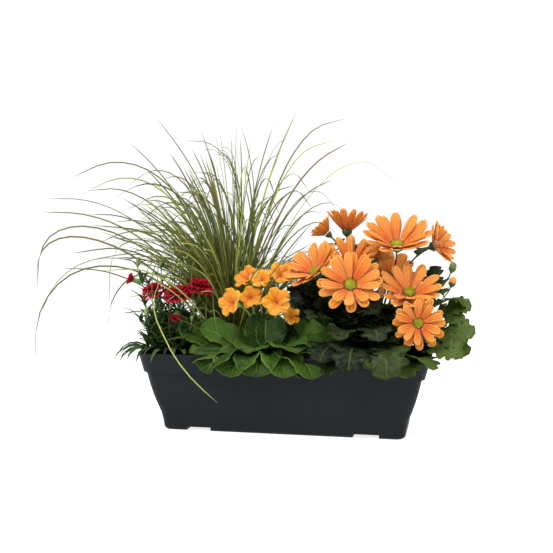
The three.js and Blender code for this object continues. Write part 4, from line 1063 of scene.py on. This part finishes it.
def primrose_flower(k, crown):
    rng = random.Random(800 + k)
    node = f"primrose_flower_{k}"
    bloom = Bloom(node, crown, 1.9 * MM)
    place = bloom.place()
    piece = Piece(f"primrose_bloom_{k}")
    size = bloom.reach
    for n in range(5):
        turn = 2 * pi * (n + rng.uniform(-0.05, 0.05)) / 5
        length = size * rng.uniform(0.98, 1.08)
        lift = radians(26 + rng.uniform(-6, 8))
        line = arch(polar(0.03 * size, turn, -MM), turn, pi / 2 - lift - 0.4,
                    pi / 2 - lift + 0.55, length, 5)
        phase = rng.uniform(0, 6)

        def spot(u, t, line=line, length=length, phase=phase):
            centre, across, normal, along = line.frame(t)
            wide = length * between(PETAL_WIDTHS, t)
            notch = 0.16 * length * max(0, 1 - 2.4 * abs(u)) * t**6
            lap = 0.09 * u * wide
            wave = length * t * (0.08 * sin(6 * u + phase) + 0.06 * cos(2 * pi * u))
            return place @ (centre + across * (u * wide) + normal * (lap + wave) - along * notch)
        piece.sheet(8, 8, spot, rng.random() * 0.8)
    piece.done([PRIMROSE_SKIN], "primrose_petal", node, 0.5 * MM)
    return bloom


def primrose():
    rng = random.Random(63)
    crown = crown_of("primrose_green")
    stalks, leaves = Piece("primrose_stalks"), Piece("primrose_leaves")
    for k in range(1, 8):
        bloom = primrose_flower(k, crown)
        tapered(stalks, bloom.place(-2 * MM), 14 * MM, 0.2 * bloom.reach,
                [(0, 0.45), (0.25, 0.85), (0.6, 0.9), (0.85, 1.0), (1, 0.8)], 0.8, 10)
        line = stalk_line(crown, bloom.at - bloom.axis * 13 * MM, bloom.axis, 8 * MM, 75 * MM)
        stalks.tube(line, 1.3 * MM, 6, 14, 0.5)
    for azimuth, lean, bend, length, width, roll in PRIMROSE_LEAVES:
        turn = radians(azimuth)
        start = crown + UP * MM + polar(1, turn) * (11 if bend > UPRIGHT_BEND else -18) * MM
        line = arch(start, turn, radians(lean), radians(bend), length * MM, 8, radians(roll))
        primrose_leaf(leaves, line, length * MM, width * MM, rng.uniform(0.3, 1), rng)
    stalks.done([PRIMROSE_STALK], "primrose_leaf", "primrose_green")
    leaves.done([PRIMROSE_LEAF], "primrose_leaf", "primrose_green", 0.7 * MM)


# ---- the setting
def aim(thing, spot, along):
    thing.location = spot
    thing.rotation_euler = along.to_track_quat("-Z", "Y").to_euler()


def studio():
    scene = bpy.context.scene
    pale = Finish("pale floor", 0.9, specular=0.05, glow=0.82, glow_colour=(1, 1, 1, 1))
    bm = bmesh.new()
    bmesh.ops.create_grid(bm, x_segments=1, y_segments=1, size=9)
    floor = put("floor", mesh_of("floor", bm))
    floor.data.materials.append(pale.colour(paint(190, 190, 190)))

    world = bpy.data.worlds.new("studio")
    world.use_nodes = True
    ambient = world.node_tree.nodes["Background"]
    ambient.inputs["Color"].default_value = (1, 1, 1, 1)
    backdrop = world.node_tree.nodes.new("ShaderNodeLightPath")
    brightness = world.node_tree.nodes.new("ShaderNodeMapRange")
    brightness.inputs["To Min"].default_value = 0.5
    brightness.inputs["To Max"].default_value = 1.05
    world.node_tree.links.new(backdrop.outputs["Is Camera Ray"], brightness.inputs["Value"])
    world.node_tree.links.new(brightness.outputs["Result"], ambient.inputs["Strength"])
    scene.world = world

    for name, spot, size, power in (
            ("key", (-0.8, -1.5, 2.1), 1.2, 46), ("fill", (1.6, -1.3, 1.2), 1.6, 12),
            ("top", (0.1, 0.2, 2.3), 1.4, 30)):
        light = bpy.data.lights.new(name, "AREA")
        light.size = size
        light.energy = power
        aim(put(name, light), spot, Vector((0, 0, 0.15)) - Vector(spot))

    lens = bpy.data.cameras.new("camera")
    lens.sensor_width = 36
    lens.lens = 58.6
    camera = put("camera", lens)
    aim(camera, (0.2465, -1.2920, 0.2904), Vector((-0.19994, 0.97837, -0.05299)))
    scene.camera = camera
    scene.view_settings.view_transform = "Standard"


trough()
compost()
grass()
chrysanthemum()
pinks()
primrose()
studio()
